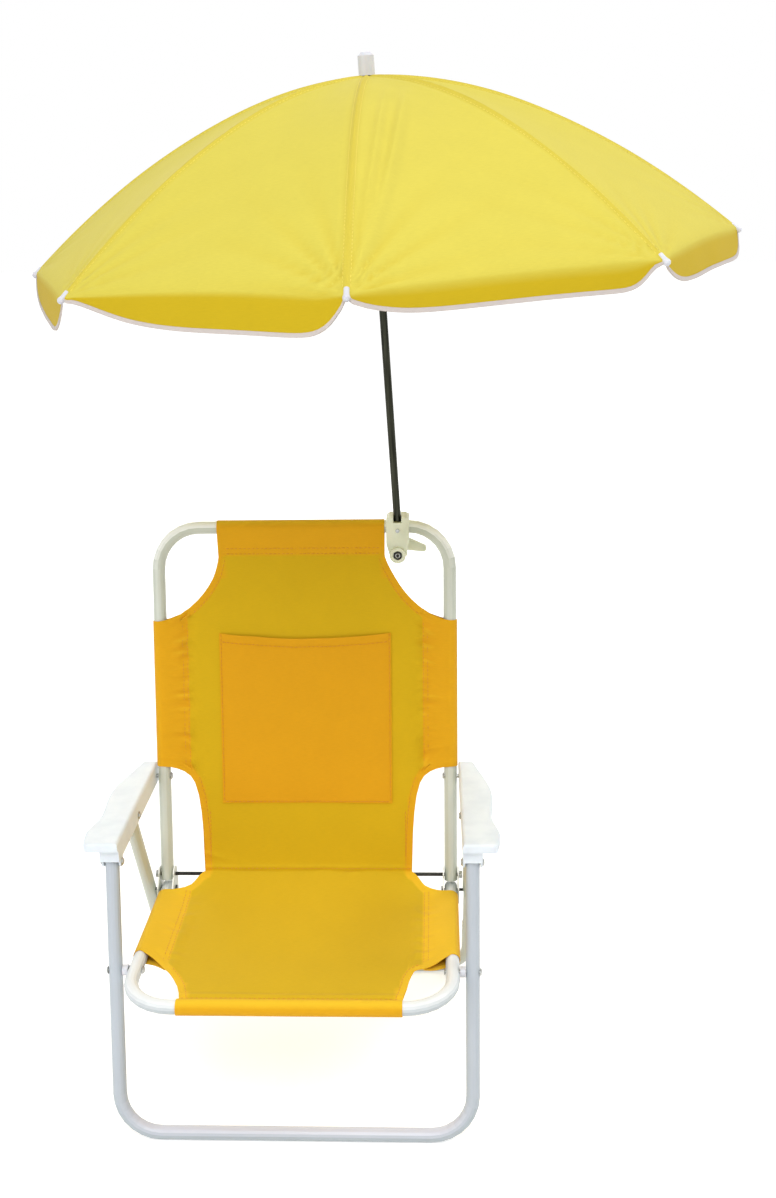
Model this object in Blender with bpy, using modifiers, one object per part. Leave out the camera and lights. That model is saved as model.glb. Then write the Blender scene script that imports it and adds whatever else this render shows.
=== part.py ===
"""A child's folding chair of bent steel tube with fabric slings and an umbrella clamped to its back.

Metres, +Z up. The chair faces -Y, and +X is at the right of someone who looks at its front.
The origin is under the middle of the front floor bar. Side views are written as (y, z) pairs.
"""

from math import acos, cos, exp, hypot, pi, radians, sin, tan

import bmesh
import bpy
from mathutils import Matrix, Vector

# Clearances and overruns
SEAT_GAP = 0.0003
CUT_OVERRUN = 0.01
WELD_DISTANCE = 0.00001

# Bent tube
TUBE_DIAMETER = 0.014
FLOOR_FLAT = 0.0002
LEAN = radians(15)
FRONT_LEG_SPACING = 0.358
RAIL_SPACING = 0.318
FLOOR_BEND = 0.042
SEAT_BEND = 0.048
BACK_BEND = 0.045
TUBE_STUB = 0.003

# Where the frames cross, along the front leg and along the seat rail
FLOOR_TO_SEAT_PIVOT = 0.1716
LINK_HEIGHT = 0.1124
SEAT_DROP = radians(4.78)
SEAT_FRONT_REACH = 0.063
HINGE_REACH = 0.1674
HINGE_RISE = 0.0167
SLOT_PIN_REACH = 0.1633
RAIL_END_STUB = 0.008
BACK_LENGTH = 0.3885
BACK_END_STUB = 0.006
SLOT_TRAVEL = 0.0665
SLOT_HALF_WIDTH = 0.0037
SLOT_TUBE_WALL = 0.0035

# Pins, rivets and the hinge
RIVET_RADIUS = 0.0022
RIVET_HEAD_RADIUS = 0.0042
RIVET_HEAD_HEIGHT = 0.0016
RIVET_TOP_SHARE = 0.6
RIVET_PIN_SHARE = 0.95
SLOT_PIN_RADIUS = 0.0016
SPACER_RADIUS = 0.0055
ROD_RADIUS = 0.002
ROD_OVERHANG = 0.0020
NUT_RADIUS = 0.0045
NUT_LENGTH = 0.0032
BRACKET_SHEET = 0.0015
BRACKET_SIDE_GAP = 0.0005
BRACKET_LENGTH = 0.030
BRACKET_RISE = 0.009

# Armrests, measured from the pins of the front leg and of the back
ARM_FRONT_OVERHANG = 0.0130
ARM_REAR_OVERHANG = 0.0103
ARM_FRONT_COVER = 0.02661
ARM_REAR_COVER = 0.0140
REAR_LEG_PIN_BACK = 0.0780
REAR_LEG_PIN_RISE = 0.00588
ARM_PIN_EDGE = 0.0064
ARM_EAR_RADIUS = 0.0052
ARM_INNER_REAR = 0.1678
ARM_SIDE_GAP = 0.0006
ARM_WALL = 0.002
ARM_STEP = 0.0003
ARM_TOP_THICKNESS = 0.0028
ARM_RIM_HEIGHT = 0.0088
ARM_REAR_WIDTH = 0.0160
ARM_WIDTH = 0.0375
ARM_CORNER = 0.0045
ARM_EDGE_ROUND = 0.0030
ARM_TOP_ANGLE = radians(20)
ARM_TAPER_START_SHARE = 0.75
ARM_TRAY_END_SHARE = 0.88
ARM_WIDTH_SHARES = ((0, 0.915), (0.128, 1), (0.32, 0.82), (0.56, 0.905), (1.12, 0.39))

# Slings and pocket
CLOTH = 0.0012
SLEEVE_CLOTH = 0.0008
STITCH_HALF_THICKNESS = 0.0011
RISER_CLOTH = 0.0013
BACK_SLEEVE_DEPTH = 0.029
BACK_TOP_SLEEVE_HALF = 0.0902
BACK_TOP_SLEEVE_DEPTH = 0.0285
BACK_SLEEVE_LOW = 0.1255
BACK_SLEEVE_HIGH = 0.286
BACK_WAIST_HALF = 0.1205
BACK_CLOTH_LOW = 0.0035
SEAT_SLEEVE_DEPTH = 0.027
SEAT_SLEEVE_FRONT = 0.020
SEAT_SLEEVE_REAR = 0.146
SEAT_FRONT_SLEEVE_HALF = 0.1075
SEAT_FRONT_SLEEVE_DEPTH = 0.0135
SEAT_WAIST_HALF = 0.1225
SEAT_RISER_SETBACK = 0.0045
SEAT_RISER_DROP = 0.0024
POCKET_HALF_WIDTH = 0.0945
POCKET_LOW = 0.081
POCKET_HIGH = 0.272
POCKET_SAG = 0.006
POCKET_CLOTH = 0.0009
BACK_UPPER_SHARES = ((1.0, 0.0), (0.68, 0.08), (0.36, 0.34), (0.13, 0.70), (0.03, 0.90), (0.0, 1.0))
BACK_LOWER_SHARES = ((0.0, 0.0), (0.0, 0.22), (0.06, 0.58), (0.25, 0.86), (0.55, 0.975), (1.0, 1.0))
SEAT_FRONT_SHARES = ((0.02, 0.0), (0.10, 0.30), (0.27, 0.60), (0.55, 0.82), (0.80, 0.95), (1.0, 1.0))
SEAT_REAR_SHARES = ((1.0, 0.0), (0.50, 0.12), (0.14, 0.45), (0.0, 1.0))

# Umbrella clamp, measured from the middle of the back's top bar
CLAMP_WIDTH = 0.0240
CLAMP_FRONT = 0.0290
CLAMP_SPLIT = 0.0076
CLAMP_TOP = 0.0190
CLAMP_CORNER = 0.005
CLAMP_HOOK = 0.0055
CLAMP_BOLT_DROP = 0.0227
CLAMP_JAW_GAP = 0.0005
CLAMP_NOTCH_HEIGHT = 0.0130
BOSS_RADIUS = 0.0087
BOSS_HEIGHT = 0.0026
BOLT_RADIUS = 0.0025
BOLT_HEAD_RADIUS = 0.0048
BOLT_HEAD_HEIGHT = 0.0020
LEVER_HUB_RADIUS = 0.0080
LEVER_THICKNESS = 0.0060
LEVER_REACH = 0.0280
LEVER_TIP_RADIUS = 0.0033
LEVER_SLOPE = radians(-16)
SET_SCREW_HEIGHT = 0.0045
SET_SCREW_RADIUS = 0.0015
SET_SCREW_HEAD_RADIUS = 0.0021
SET_SCREW_HEAD_HEIGHT = 0.0015

# Umbrella, measured along its pole
POLE_RADIUS = 0.0040
POLE_FORWARD = 0.0212
POLE_SIDEWAYS_LEAN = radians(-2.9)
POLE_BACK_LEAN = radians(1.27)
CANOPY_TURN = radians(-1.56)
POLE_BOTTOM = -0.0195
RIM_HEIGHT = 0.2793
CANOPY_RISE = 0.1605
CANOPY_RADIUS = 0.3478
CANOPY_HOLE = 0.0055
CANOPY_CLOTH = 0.0010
VALANCE_DROP = 0.0335
VALANCE_TIP_DROP = 0.0035
VALANCE_OUTWARD_SHARE = 0.30
SCALLOP_LEFT_SHARE = 0.15
SCALLOP_RIGHT_SHARE = 0.05
GORE_SLACK = 0.0040
GORE_DIP_SLOPE = 0.15
DOME_POWER = 1.85
GORES = 8
GORE_STEPS = 6
DOME_RINGS = 8
VALANCE_RINGS = 3
RIB_RADIUS = 0.00135
RIB_TIP_INSET = 0.0045
STRETCHER_RADIUS = 0.0012
HUB_PIVOT_RADIUS = 0.0125
STRETCHER_REACH = 0.1525
CROWN_RADIUS = 0.0108
CROWN_HEIGHT = 0.0120
CROWN_LIP = 0.0030
RUNNER_RADIUS = 0.0070
RUNNER_FLANGE = 0.0030
RUNNER_LENGTH = 0.0320
FINIAL_RADIUS = 0.0078
FINIAL_HEIGHT = 0.0205
FINIAL_ROUND = 0.0030
POLE_TOP_INSERT = 0.0080

# Smoothness
TUBE_BEVEL_STEPS = 6
WIRE_BEVEL_STEPS = 1
BEND_STEPS = 7
CORNER_STEPS = 2
ARC_STEPS = 8
ARM_EDGE_STEPS = 16
ROUND_SIDES = 20
PIN_SIDES = 12
NUT_SIDES = 6

# Sizes that follow from those above
TUBE_RADIUS = TUBE_DIAMETER / 2
LEAN_UP = Vector((0, sin(LEAN), cos(LEAN)))
RAIL_BACK = Vector((0, cos(SEAT_DROP), -sin(SEAT_DROP)))
RAIL_UP = Vector((0, sin(SEAT_DROP), cos(SEAT_DROP)))
ACROSS = Vector((1, 0, 0))
LEG_X = FRONT_LEG_SPACING / 2
RAIL_X = RAIL_SPACING / 2
FLOOR_AXIS = Vector((0, 0, TUBE_RADIUS - FLOOR_FLAT))
SEAT_PIVOT = FLOOR_AXIS + LEAN_UP * FLOOR_TO_SEAT_PIVOT
ARM_FRONT_PIVOT = SEAT_PIVOT + LEAN_UP * LINK_HEIGHT
HINGE = SEAT_PIVOT + RAIL_BACK * HINGE_REACH + RAIL_UP * HINGE_RISE
ARM_REAR_PIVOT = HINGE + LEAN_UP * LINK_HEIGHT
SLOT_PIN = SEAT_PIVOT + RAIL_BACK * SLOT_PIN_REACH
SEAT_FRONT = SEAT_PIVOT - RAIL_BACK * SEAT_FRONT_REACH
REAR_LEG_PIVOT = ARM_FRONT_PIVOT + Vector((0, REAR_LEG_PIN_BACK, REAR_LEG_PIN_RISE))
REAR_LEG_DOWN = (SLOT_PIN - REAR_LEG_PIVOT).normalized()
REAR_FOOT = REAR_LEG_PIVOT + REAR_LEG_DOWN * ((FLOOR_AXIS.z - REAR_LEG_PIVOT.z) / REAR_LEG_DOWN.z)
TOP_BAR = HINGE + LEAN_UP * BACK_LENGTH
RAIL_TO_LEG = LEG_X - RAIL_X - TUBE_DIAMETER
ARM_FRONT_TOP = ARM_FRONT_PIVOT + Vector((0, 0, ARM_FRONT_COVER))
ARM_REAR_TOP = ARM_REAR_PIVOT + Vector((0, 0, ARM_REAR_COVER))
ARM_ALONG = (ARM_REAR_TOP - ARM_FRONT_TOP).normalized()
ARM_UP = ACROSS.cross(ARM_ALONG)
ARM_ORIGIN = ARM_FRONT_TOP - ARM_ALONG * (ARM_FRONT_TOP.y / ARM_ALONG.y)
ARM_FRONT_DEPTH = ARM_FRONT_PIVOT.y - ARM_FRONT_OVERHANG
ARM_REAR_DEPTH = ARM_REAR_PIVOT.y + ARM_REAR_OVERHANG
ARM_CHANNEL_HEIGHT = (ARM_ORIGIN - REAR_LEG_PIVOT).dot(ARM_UP) + ARM_PIN_EDGE
ARM_PIN_DEPTH = (ARM_ORIGIN - ARM_FRONT_PIVOT).dot(ARM_UP)
ARM_PIN_ALONG = (ARM_FRONT_PIVOT - ARM_ORIGIN).dot(ARM_ALONG)
ARM_CHANNEL_FRONT = ARM_PIN_ALONG - TUBE_RADIUS - ARM_SIDE_GAP - ARM_WALL
ARM_INNER_FRONT = LEG_X - TUBE_RADIUS - ARM_SIDE_GAP - ARM_WALL - ARM_STEP
ARM_CHANNEL_OUTER = LEG_X + TUBE_RADIUS + ARM_SIDE_GAP + ARM_WALL
CLAMP_X = BACK_TOP_SLEEVE_HALF + CLOTH / 2 + SEAT_GAP * 2 + CLAMP_WIDTH / 2
CLAMP_CENTRE = Vector((CLAMP_X, TOP_BAR.y, TOP_BAR.z))
JAW_REACH = TUBE_RADIUS + SEAT_GAP + CLAMP_HOOK
POLE_AXIS = Vector((tan(POLE_SIDEWAYS_LEAN), tan(POLE_BACK_LEAN), 1)).normalized()
POLE_BASE = CLAMP_CENTRE + Vector((0, -POLE_FORWARD, CLAMP_NOTCH_HEIGHT))
RIB_DROP = CANOPY_CLOTH / 2 + SEAT_GAP + RIB_RADIUS
APEX_HEIGHT = RIM_HEIGHT + CANOPY_RISE

PAINT = (0.79, 0.81, 0.82)
ARM_WHITE = (0.93, 0.94, 0.90)
CLAMP_IVORY = (0.80, 0.82, 0.70)
STEEL = (0.55, 0.56, 0.55)
DARK_STEEL = (0.10, 0.10, 0.10)
BACK_YELLOW = (0.66, 0.42, 0.02)
SEAT_YELLOW = (0.73, 0.49, 0.03)
POCKET_ORANGE = (0.74, 0.32, 0.01)
CANOPY_YELLOW = (0.84, 0.72, 0.10)


def clear_scene():
    for obj in list(bpy.data.objects):
        bpy.data.objects.remove(obj, do_unlink=True)
    for name in ("umbrella_chair", "cutters"):
        bpy.context.scene.collection.children.link(bpy.data.collections.new(name))


def material(name, colour, roughness, metallic=0):
    made = bpy.data.materials.new(name)
    made.use_nodes = True
    shader = made.node_tree.nodes["Principled BSDF"]
    shader.inputs["Base Color"].default_value = (*colour, 1)
    shader.inputs["Roughness"].default_value = roughness
    shader.inputs["Metallic"].default_value = metallic
    return made


def link(obj, collection="umbrella_chair"):
    bpy.data.collections[collection].objects.link(obj)
    return obj


def smooth(obj):
    if obj.type == "MESH":
        obj.data.shade_smooth()
        obj.data.set_sharp_from_angle(angle=radians(40))
    return obj


def place(obj, finish, pivot):
    """Gives a finished piece its look and hangs it on its pivot without moving it."""
    obj.data.materials.clear()
    obj.data.materials.append(finish)
    obj.parent = pivot
    obj.matrix_parent_inverse = pivot.matrix_world.inverted()
    return smooth(obj)


def pivot_at(name, point, parent=None):
    empty = link(bpy.data.objects.new(name, None))
    empty.empty_display_size = TUBE_DIAMETER
    empty.location = point
    bpy.context.view_layer.update()
    if parent:
        empty.parent = parent
        empty.matrix_parent_inverse = parent.matrix_world.inverted()
    bpy.context.view_layer.update()
    return empty


def frame_matrix(origin, x_axis, y_axis):
    """A matrix that takes a flat XY drawing to a plane through origin."""
    x_axis = Vector(x_axis).normalized()
    y_axis = Vector(y_axis).normalized()
    rotation = Matrix((x_axis, y_axis, x_axis.cross(y_axis))).transposed()
    return Matrix.Translation(origin) @ rotation.to_4x4()


def rounded(corners, bend):
    """The points of a path whose inner corners are arcs of the given radius."""
    points = [corners[0]]
    for before, corner, after in zip(corners, corners[1:], corners[2:]):
        into = (before - corner).normalized()
        out = (after - corner).normalized()
        half = into.angle(out) / 2
        centre = corner + (into + out).normalized() * (bend / sin(half))
        start = corner + into * (bend / tan(half)) - centre
        end = corner + out * (bend / tan(half)) - centre
        sweep = start.angle(end)
        for step in range(BEND_STEPS + 1):
            share = step / BEND_STEPS
            along = start * sin((1 - share) * sweep) + end * sin(share * sweep)
            points.append(centre + along / sin(sweep))
    points.append(corners[-1])
    return points


def tube_curve(name, points, radius, sides_level):
    curve = bpy.data.curves.new(name, "CURVE")
    curve.dimensions = "3D"
    curve.bevel_depth = radius
    curve.bevel_resolution = sides_level
    curve.use_fill_caps = True
    spline = curve.splines.new("POLY")
    spline.points.add(len(points) - 1)
    for slot, point in zip(spline.points, points):
        slot.co = (*point, 1)
    return link(bpy.data.objects.new(name, curve))


def flat_curve(name, outline, thickness, matrix):
    """A filled outline, extruded to the given thickness about its own plane."""
    curve = bpy.data.curves.new(name, "CURVE")
    curve.dimensions = "2D"
    curve.fill_mode = "BOTH"
    curve.extrude = thickness / 2
    spline = curve.splines.new("POLY")
    spline.points.add(len(outline) - 1)
    for slot, point in zip(spline.points, outline):
        slot.co = (point[0], point[1], 0, 1)
    spline.use_cyclic_u = True
    obj = link(bpy.data.objects.new(name, curve))
    obj.matrix_world = matrix
    return obj


def as_mesh(obj):
    """Turns a curve into a closed mesh object of the same name and place."""
    bpy.context.view_layer.update()
    graph = bpy.context.evaluated_depsgraph_get()
    mesh = bpy.data.meshes.new_from_object(obj.evaluated_get(graph))
    mesh.transform(obj.matrix_world)
    shape = bmesh.new()
    shape.from_mesh(mesh)
    bmesh.ops.remove_doubles(shape, verts=shape.verts, dist=WELD_DISTANCE)
    bmesh.ops.recalc_face_normals(shape, faces=shape.faces)
    shape.to_mesh(mesh)
    shape.free()
    name = obj.name
    bpy.data.objects.remove(obj, do_unlink=True)
    return link(bpy.data.objects.new(name, mesh))


def tube(name, points, radius=TUBE_RADIUS, sides_level=TUBE_BEVEL_STEPS):
    return as_mesh(tube_curve(name, points, radius, sides_level))


def plate(name, outline, thickness, matrix):
    return as_mesh(flat_curve(name, outline, thickness, matrix))


def box(name, low, high):
    shape = bmesh.new()
    bmesh.ops.create_cube(shape, size=1)
    low = Vector(low)
    high = Vector(high)
    bmesh.ops.scale(shape, vec=high - low, verts=shape.verts)
    bmesh.ops.translate(shape, vec=(high + low) / 2, verts=shape.verts)
    mesh = bpy.data.meshes.new(name)
    shape.to_mesh(mesh)
    shape.free()
    return link(bpy.data.objects.new(name, mesh))


def cylinder(name, start, end, radius, sides=ROUND_SIDES, end_radius=None):
    """A round bar between two points, which may taper."""
    start = Vector(start)
    end = Vector(end)
    shape = bmesh.new()
    bmesh.ops.create_cone(
        shape,
        cap_ends=True,
        segments=sides,
        radius1=radius,
        radius2=radius if end_radius is None else end_radius,
        depth=(end - start).length,
    )
    turn = (end - start).to_track_quat("Z", "Y").to_matrix().to_4x4()
    shape.transform(Matrix.Translation((start + end) / 2) @ turn)
    mesh = bpy.data.meshes.new(name)
    shape.to_mesh(mesh)
    shape.free()
    return link(bpy.data.objects.new(name, mesh))


def turned(name, base, axis, profile, sides=ROUND_SIDES):
    """A Screw about an axis: the profile lists (radius, height) down its outer side, top first."""
    mesh = bpy.data.meshes.new(name)
    points = [(radius, 0, height) for radius, height in profile]
    closed = profile[0][0] > 0
    edges = [(n, n + 1) for n in range(len(points) - 1)]
    if closed:
        edges.append((len(points) - 1, 0))
    mesh.from_pydata(points, edges, [])
    obj = link(bpy.data.objects.new(name, mesh))
    screw = obj.modifiers.new("turn", "SCREW")
    screw.steps = sides
    screw.render_steps = sides
    screw.use_merge_vertices = True
    screw.merge_threshold = WELD_DISTANCE
    turn = Vector(axis).to_track_quat("Z", "Y").to_matrix().to_4x4()
    obj.matrix_world = Matrix.Translation(base) @ turn
    return as_mesh(obj)


def as_cutter(obj):
    bpy.data.collections["umbrella_chair"].objects.unlink(obj)
    link(obj, "cutters")
    obj.hide_render = True
    obj.display_type = "WIRE"
    return obj


def combine(obj, other, operation):
    """One Boolean, applied, whose second shape is used up."""
    as_cutter(other)
    step = obj.modifiers.new(operation.lower(), "BOOLEAN")
    step.operation = operation
    step.solver = "EXACT"
    step.object = other
    bpy.context.view_layer.update()
    graph = bpy.context.evaluated_depsgraph_get()
    mesh = bpy.data.meshes.new_from_object(obj.evaluated_get(graph))
    obj.modifiers.clear()
    obj.data = mesh
    bpy.data.objects.remove(other, do_unlink=True)
    return obj


def cut(obj, cutter):
    return combine(obj, cutter, "DIFFERENCE")


def join(obj, other):
    return combine(obj, other, "UNION")


def drill(obj, point, axis, radius, length):
    half = Vector(axis).normalized() * (length / 2)
    point = Vector(point)
    return cut(obj, cylinder("drill", point - half, point + half, radius + SEAT_GAP, PIN_SIDES))


def at_x(point, x):
    return Vector((x, point.y, point.z))


def u_frame(name, ends, bend, half_width, floor=False):
    """A U of tube between two side-view points: the first is its open end, the second its bar."""
    top, bar = ends
    corners = [at_x(top, -half_width), at_x(bar, -half_width)]
    corners += [at_x(bar, half_width), at_x(top, half_width)]
    frame = tube(name, rounded(corners, bend))
    if floor:
        reach = FRONT_LEG_SPACING
        low = (-reach, bar.y - reach, -TUBE_DIAMETER)
        cut(frame, box("floor", low, (reach, bar.y + reach, 0)))
    return frame


def both_sides():
    return (("left", -1), ("right", 1))


def make_front_legs(paint, pivot):
    top = ARM_FRONT_PIVOT + LEAN_UP * TUBE_STUB
    frame = u_frame("front_leg_frame", (top, FLOOR_AXIS), FLOOR_BEND, LEG_X, floor=True)
    for _, side in both_sides():
        for point in (ARM_FRONT_PIVOT, SEAT_PIVOT):
            drill(frame, at_x(point, side * LEG_X), ACROSS, RIVET_RADIUS, TUBE_DIAMETER * 2)
    place(frame, paint, pivot)


def make_rear_legs(paint, pivot):
    top = REAR_LEG_PIVOT - REAR_LEG_DOWN * TUBE_STUB
    frame = u_frame("rear_leg_frame", (top, REAR_FOOT), FLOOR_BEND, LEG_X, floor=True)
    slot_from = (SLOT_PIN - REAR_LEG_PIVOT).length
    inner_face = LEG_X - TUBE_RADIUS
    depth = TUBE_DIAMETER - SLOT_TUBE_WALL + CUT_OVERRUN
    for _, side in both_sides():
        drill(frame, at_x(REAR_LEG_PIVOT, side * LEG_X), ACROSS, RIVET_RADIUS, TUBE_DIAMETER * 2)
        middle = side * (inner_face - CUT_OVERRUN + depth / 2)
        start = at_x(REAR_LEG_PIVOT + REAR_LEG_DOWN * slot_from, middle)
        outline = slot_outline(SLOT_TRAVEL, SLOT_HALF_WIDTH)
        plane = frame_matrix(start, REAR_LEG_DOWN, REAR_LEG_DOWN.cross(ACROSS))
        cut(frame, plate("slot", outline, depth, plane))
    place(frame, paint, pivot)


def arc(centre_x, centre_y, radius, first, sweep):
    """Points round a circle, from the first angle through the sweep."""
    angles = [first + sweep * step / ARC_STEPS for step in range(ARC_STEPS + 1)]
    return [(centre_x + radius * cos(angle), centre_y + radius * sin(angle)) for angle in angles]


def slot_outline(length, half_width):
    return arc(0, 0, half_width, pi / 2, pi) + arc(length, 0, half_width, -pi / 2, pi)


def make_seat_frame(paint, pivot):
    rear = SLOT_PIN + RAIL_BACK * RAIL_END_STUB
    frame = u_frame("seat_frame", (rear, SEAT_FRONT), SEAT_BEND, RAIL_X)
    for _, side in both_sides():
        drill(frame, at_x(SEAT_PIVOT, side * RAIL_X), ACROSS, RIVET_RADIUS, TUBE_DIAMETER * 2)
        drill(frame, at_x(SLOT_PIN, side * RAIL_X), ACROSS, SLOT_PIN_RADIUS, TUBE_DIAMETER * 2)
    place(frame, paint, pivot)


def make_back_frame(paint, pivot):
    bottom = HINGE - LEAN_UP * BACK_END_STUB
    frame = u_frame("back_frame", (bottom, TOP_BAR), BACK_BEND, RAIL_X)
    for _, side in both_sides():
        drill(frame, at_x(HINGE, side * RAIL_X), ACROSS, ROD_RADIUS, TUBE_DIAMETER * 2)
        drill(frame, at_x(ARM_REAR_PIVOT, side * RAIL_X), ACROSS, RIVET_RADIUS, TUBE_DIAMETER * 2)
    place(frame, paint, pivot)


def make_hinge(paint, zinc, dark, pivot):
    """The brackets under the back's tubes, and the rod with its nuts that joins the back to them."""
    cheek_inner = TUBE_RADIUS + BRACKET_SIDE_GAP
    cheek_outer = cheek_inner + BRACKET_SHEET
    base = TUBE_RADIUS + SEAT_GAP
    top = HINGE_RISE + BRACKET_RISE
    foot = base + BRACKET_SHEET
    middle = SEAT_PIVOT + RAIL_BACK * SLOT_PIN_REACH
    half = BRACKET_LENGTH / 2
    shoulder = HINGE_RISE - BRACKET_RISE
    outline = [(-half, -foot), (half, -foot), (half, shoulder)]
    outline += arc(HINGE_REACH - SLOT_PIN_REACH, HINGE_RISE, BRACKET_RISE, 0, pi)
    outline.append((-half, shoulder))
    for label, side in both_sides():
        plane = frame_matrix(at_x(middle, side * RAIL_X), RAIL_BACK, RAIL_UP)
        bracket = plate(f"hinge_bracket_{label}", outline, cheek_outer * 2, plane)
        hollow = [(-BRACKET_LENGTH, -base), (BRACKET_LENGTH, -base)]
        hollow += [(BRACKET_LENGTH, top * 2), (-BRACKET_LENGTH, top * 2)]
        cut(bracket, plate("hollow", hollow, cheek_inner * 2, plane))
        drill(bracket, at_x(HINGE, side * RAIL_X), ACROSS, ROD_RADIUS, TUBE_DIAMETER * 2)
        drill(bracket, at_x(SLOT_PIN, side * RAIL_X), ACROSS, SLOT_PIN_RADIUS, TUBE_DIAMETER * 2)
        place(bracket, paint, pivot)
    reach = RAIL_X + cheek_outer + ROD_OVERHANG
    rod = cylinder("hinge_rod", at_x(HINGE, -reach), at_x(HINGE, reach), ROD_RADIUS, PIN_SIDES)
    place(rod, dark, pivot)
    for label, side in both_sides():
        start = side * (RAIL_X + cheek_outer + SEAT_GAP)
        end = start + side * NUT_LENGTH
        nut = cylinder(f"rod_nut_{label}", at_x(HINGE, start), at_x(HINGE, end), NUT_RADIUS, NUT_SIDES)
        drill(nut, at_x(HINGE, start), ACROSS, ROD_RADIUS, ROD_OVERHANG * 2)
        place(nut, zinc, pivot)


def rivet(name, point, side, inner, outer, finish, pivot):
    """A rivet across X, with a flat head at each end of its grip."""
    grip_start = side * (inner - SEAT_GAP)
    grip_end = side * (outer + SEAT_GAP)
    head = side * RIVET_HEAD_HEIGHT
    into_head = head * RIVET_PIN_SHARE
    pin_start = at_x(point, grip_start - into_head)
    pin = cylinder(name, pin_start, at_x(point, grip_end + into_head), RIVET_RADIUS, PIN_SIDES)
    for start, direction in ((grip_start, -head), (grip_end, head)):
        top = RIVET_HEAD_RADIUS * RIVET_TOP_SHARE
        end = at_x(point, start + direction)
        cap = cylinder("head", at_x(point, start), end, RIVET_HEAD_RADIUS, PIN_SIDES, end_radius=top)
        join(pin, cap)
    return place(pin, finish, pivot)


def make_rivets(zinc, dark, nylon, pivots):
    rail_inner = RAIL_X - TUBE_RADIUS
    leg_outer = LEG_X + TUBE_RADIUS
    for label, side in both_sides():
        rivet(f"seat_pivot_rivet_{label}", SEAT_PIVOT, side, rail_inner, leg_outer, zinc, pivots["seat"])
        start = side * (RAIL_X + TUBE_RADIUS + SEAT_GAP)
        end = side * (LEG_X - TUBE_RADIUS - SEAT_GAP)
        spacer = cylinder(
            f"seat_pivot_spacer_{label}", at_x(SEAT_PIVOT, start), at_x(SEAT_PIVOT, end), SPACER_RADIUS
        )
        drill(spacer, at_x(SEAT_PIVOT, (start + end) / 2), ACROSS, RIVET_RADIUS, RAIL_TO_LEG * 2)
        place(spacer, nylon, pivots["seat"])
        arm_inner, arm_outer = channel_sides(ARM_FRONT_PIVOT.y)
        rivet(f"arm_front_rivet_{label}", ARM_FRONT_PIVOT, side, arm_inner, arm_outer, zinc, pivots["arms"])
        arm_outer = channel_sides(ARM_REAR_PIVOT.y)[1]
        rivet(f"arm_rear_rivet_{label}", ARM_REAR_PIVOT, side, rail_inner, arm_outer, zinc, pivots["arms"])
        arm_inner, arm_outer = channel_sides(REAR_LEG_PIVOT.y)
        rivet(f"rear_leg_rivet_{label}", REAR_LEG_PIVOT, side, arm_inner, arm_outer, zinc, pivots["arms"])
        start = side * (rail_inner - BRACKET_SIDE_GAP - BRACKET_SHEET - RIVET_HEAD_HEIGHT)
        end = side * (LEG_X + TUBE_RADIUS - SLOT_TUBE_WALL - SEAT_GAP)
        pin = cylinder(
            f"slot_pin_{label}", at_x(SLOT_PIN, start), at_x(SLOT_PIN, end), SLOT_PIN_RADIUS, PIN_SIDES
        )
        head_end = at_x(SLOT_PIN, start + side * (RIVET_HEAD_HEIGHT - SEAT_GAP))
        join(pin, cylinder("head", at_x(SLOT_PIN, start), head_end, RIVET_HEAD_RADIUS, PIN_SIDES))
        place(pin, dark, pivots["seat"])


def arm_share(depth):
    return (depth - ARM_FRONT_DEPTH) / (ARM_REAR_DEPTH - ARM_FRONT_DEPTH)


def arm_depth(share):
    return between(ARM_FRONT_DEPTH, ARM_REAR_DEPTH, share)


def arm_inner_at(depth):
    return between(ARM_INNER_FRONT, ARM_INNER_REAR, arm_share(depth))


def arm_outer_at(depth):
    """The outer edge in plan: it swells at the front, draws in, swells again and tapers to the rear."""
    share = arm_share(depth)
    for (start, width), (end, next_width) in zip(ARM_WIDTH_SHARES, ARM_WIDTH_SHARES[1:]):
        if share <= end:
            ease = (1 - cos(pi * (share - start) / (end - start))) / 2
            return arm_inner_at(depth) + ARM_WIDTH * between(width, next_width, ease)
    return arm_inner_at(depth)


def channel_sides(depth):
    """The inner and outer faces of the leg channel, which tapers over the arm's rear quarter."""
    narrowing = max(0, (arm_share(depth) - ARM_TAPER_START_SHARE) / (1 - ARM_TAPER_START_SHARE))
    outer = between(ARM_CHANNEL_OUTER, ARM_INNER_REAR + ARM_REAR_WIDTH, narrowing)
    return arm_inner_at(depth) + ARM_STEP, outer


def arm_outline(side):
    """The armrest's plan, as (x, depth) pairs."""
    outline = [(side * ARM_INNER_FRONT, ARM_FRONT_DEPTH)]
    front_corner = arm_outer_at(ARM_FRONT_DEPTH + ARM_CORNER)
    for step in range(CORNER_STEPS + 1):
        angle = pi / 2 * step / CORNER_STEPS
        x = front_corner - ARM_CORNER + ARM_CORNER * sin(angle)
        outline.append((side * x, ARM_FRONT_DEPTH + ARM_CORNER * (1 - cos(angle))))
    for step in range(1, ARM_EDGE_STEPS):
        share = step / ARM_EDGE_STEPS
        depth = between(ARM_FRONT_DEPTH + ARM_CORNER, ARM_REAR_DEPTH - ARM_CORNER, share)
        outline.append((side * arm_outer_at(depth), depth))
    rear_corner = arm_outer_at(ARM_REAR_DEPTH - ARM_CORNER)
    for step in range(CORNER_STEPS + 1):
        angle = pi / 2 * step / CORNER_STEPS
        x = rear_corner - ARM_CORNER + ARM_CORNER * cos(angle)
        outline.append((side * x, ARM_REAR_DEPTH - ARM_CORNER * (1 - sin(angle))))
    outline.append((side * ARM_INNER_REAR, ARM_REAR_DEPTH))
    return outline


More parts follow.
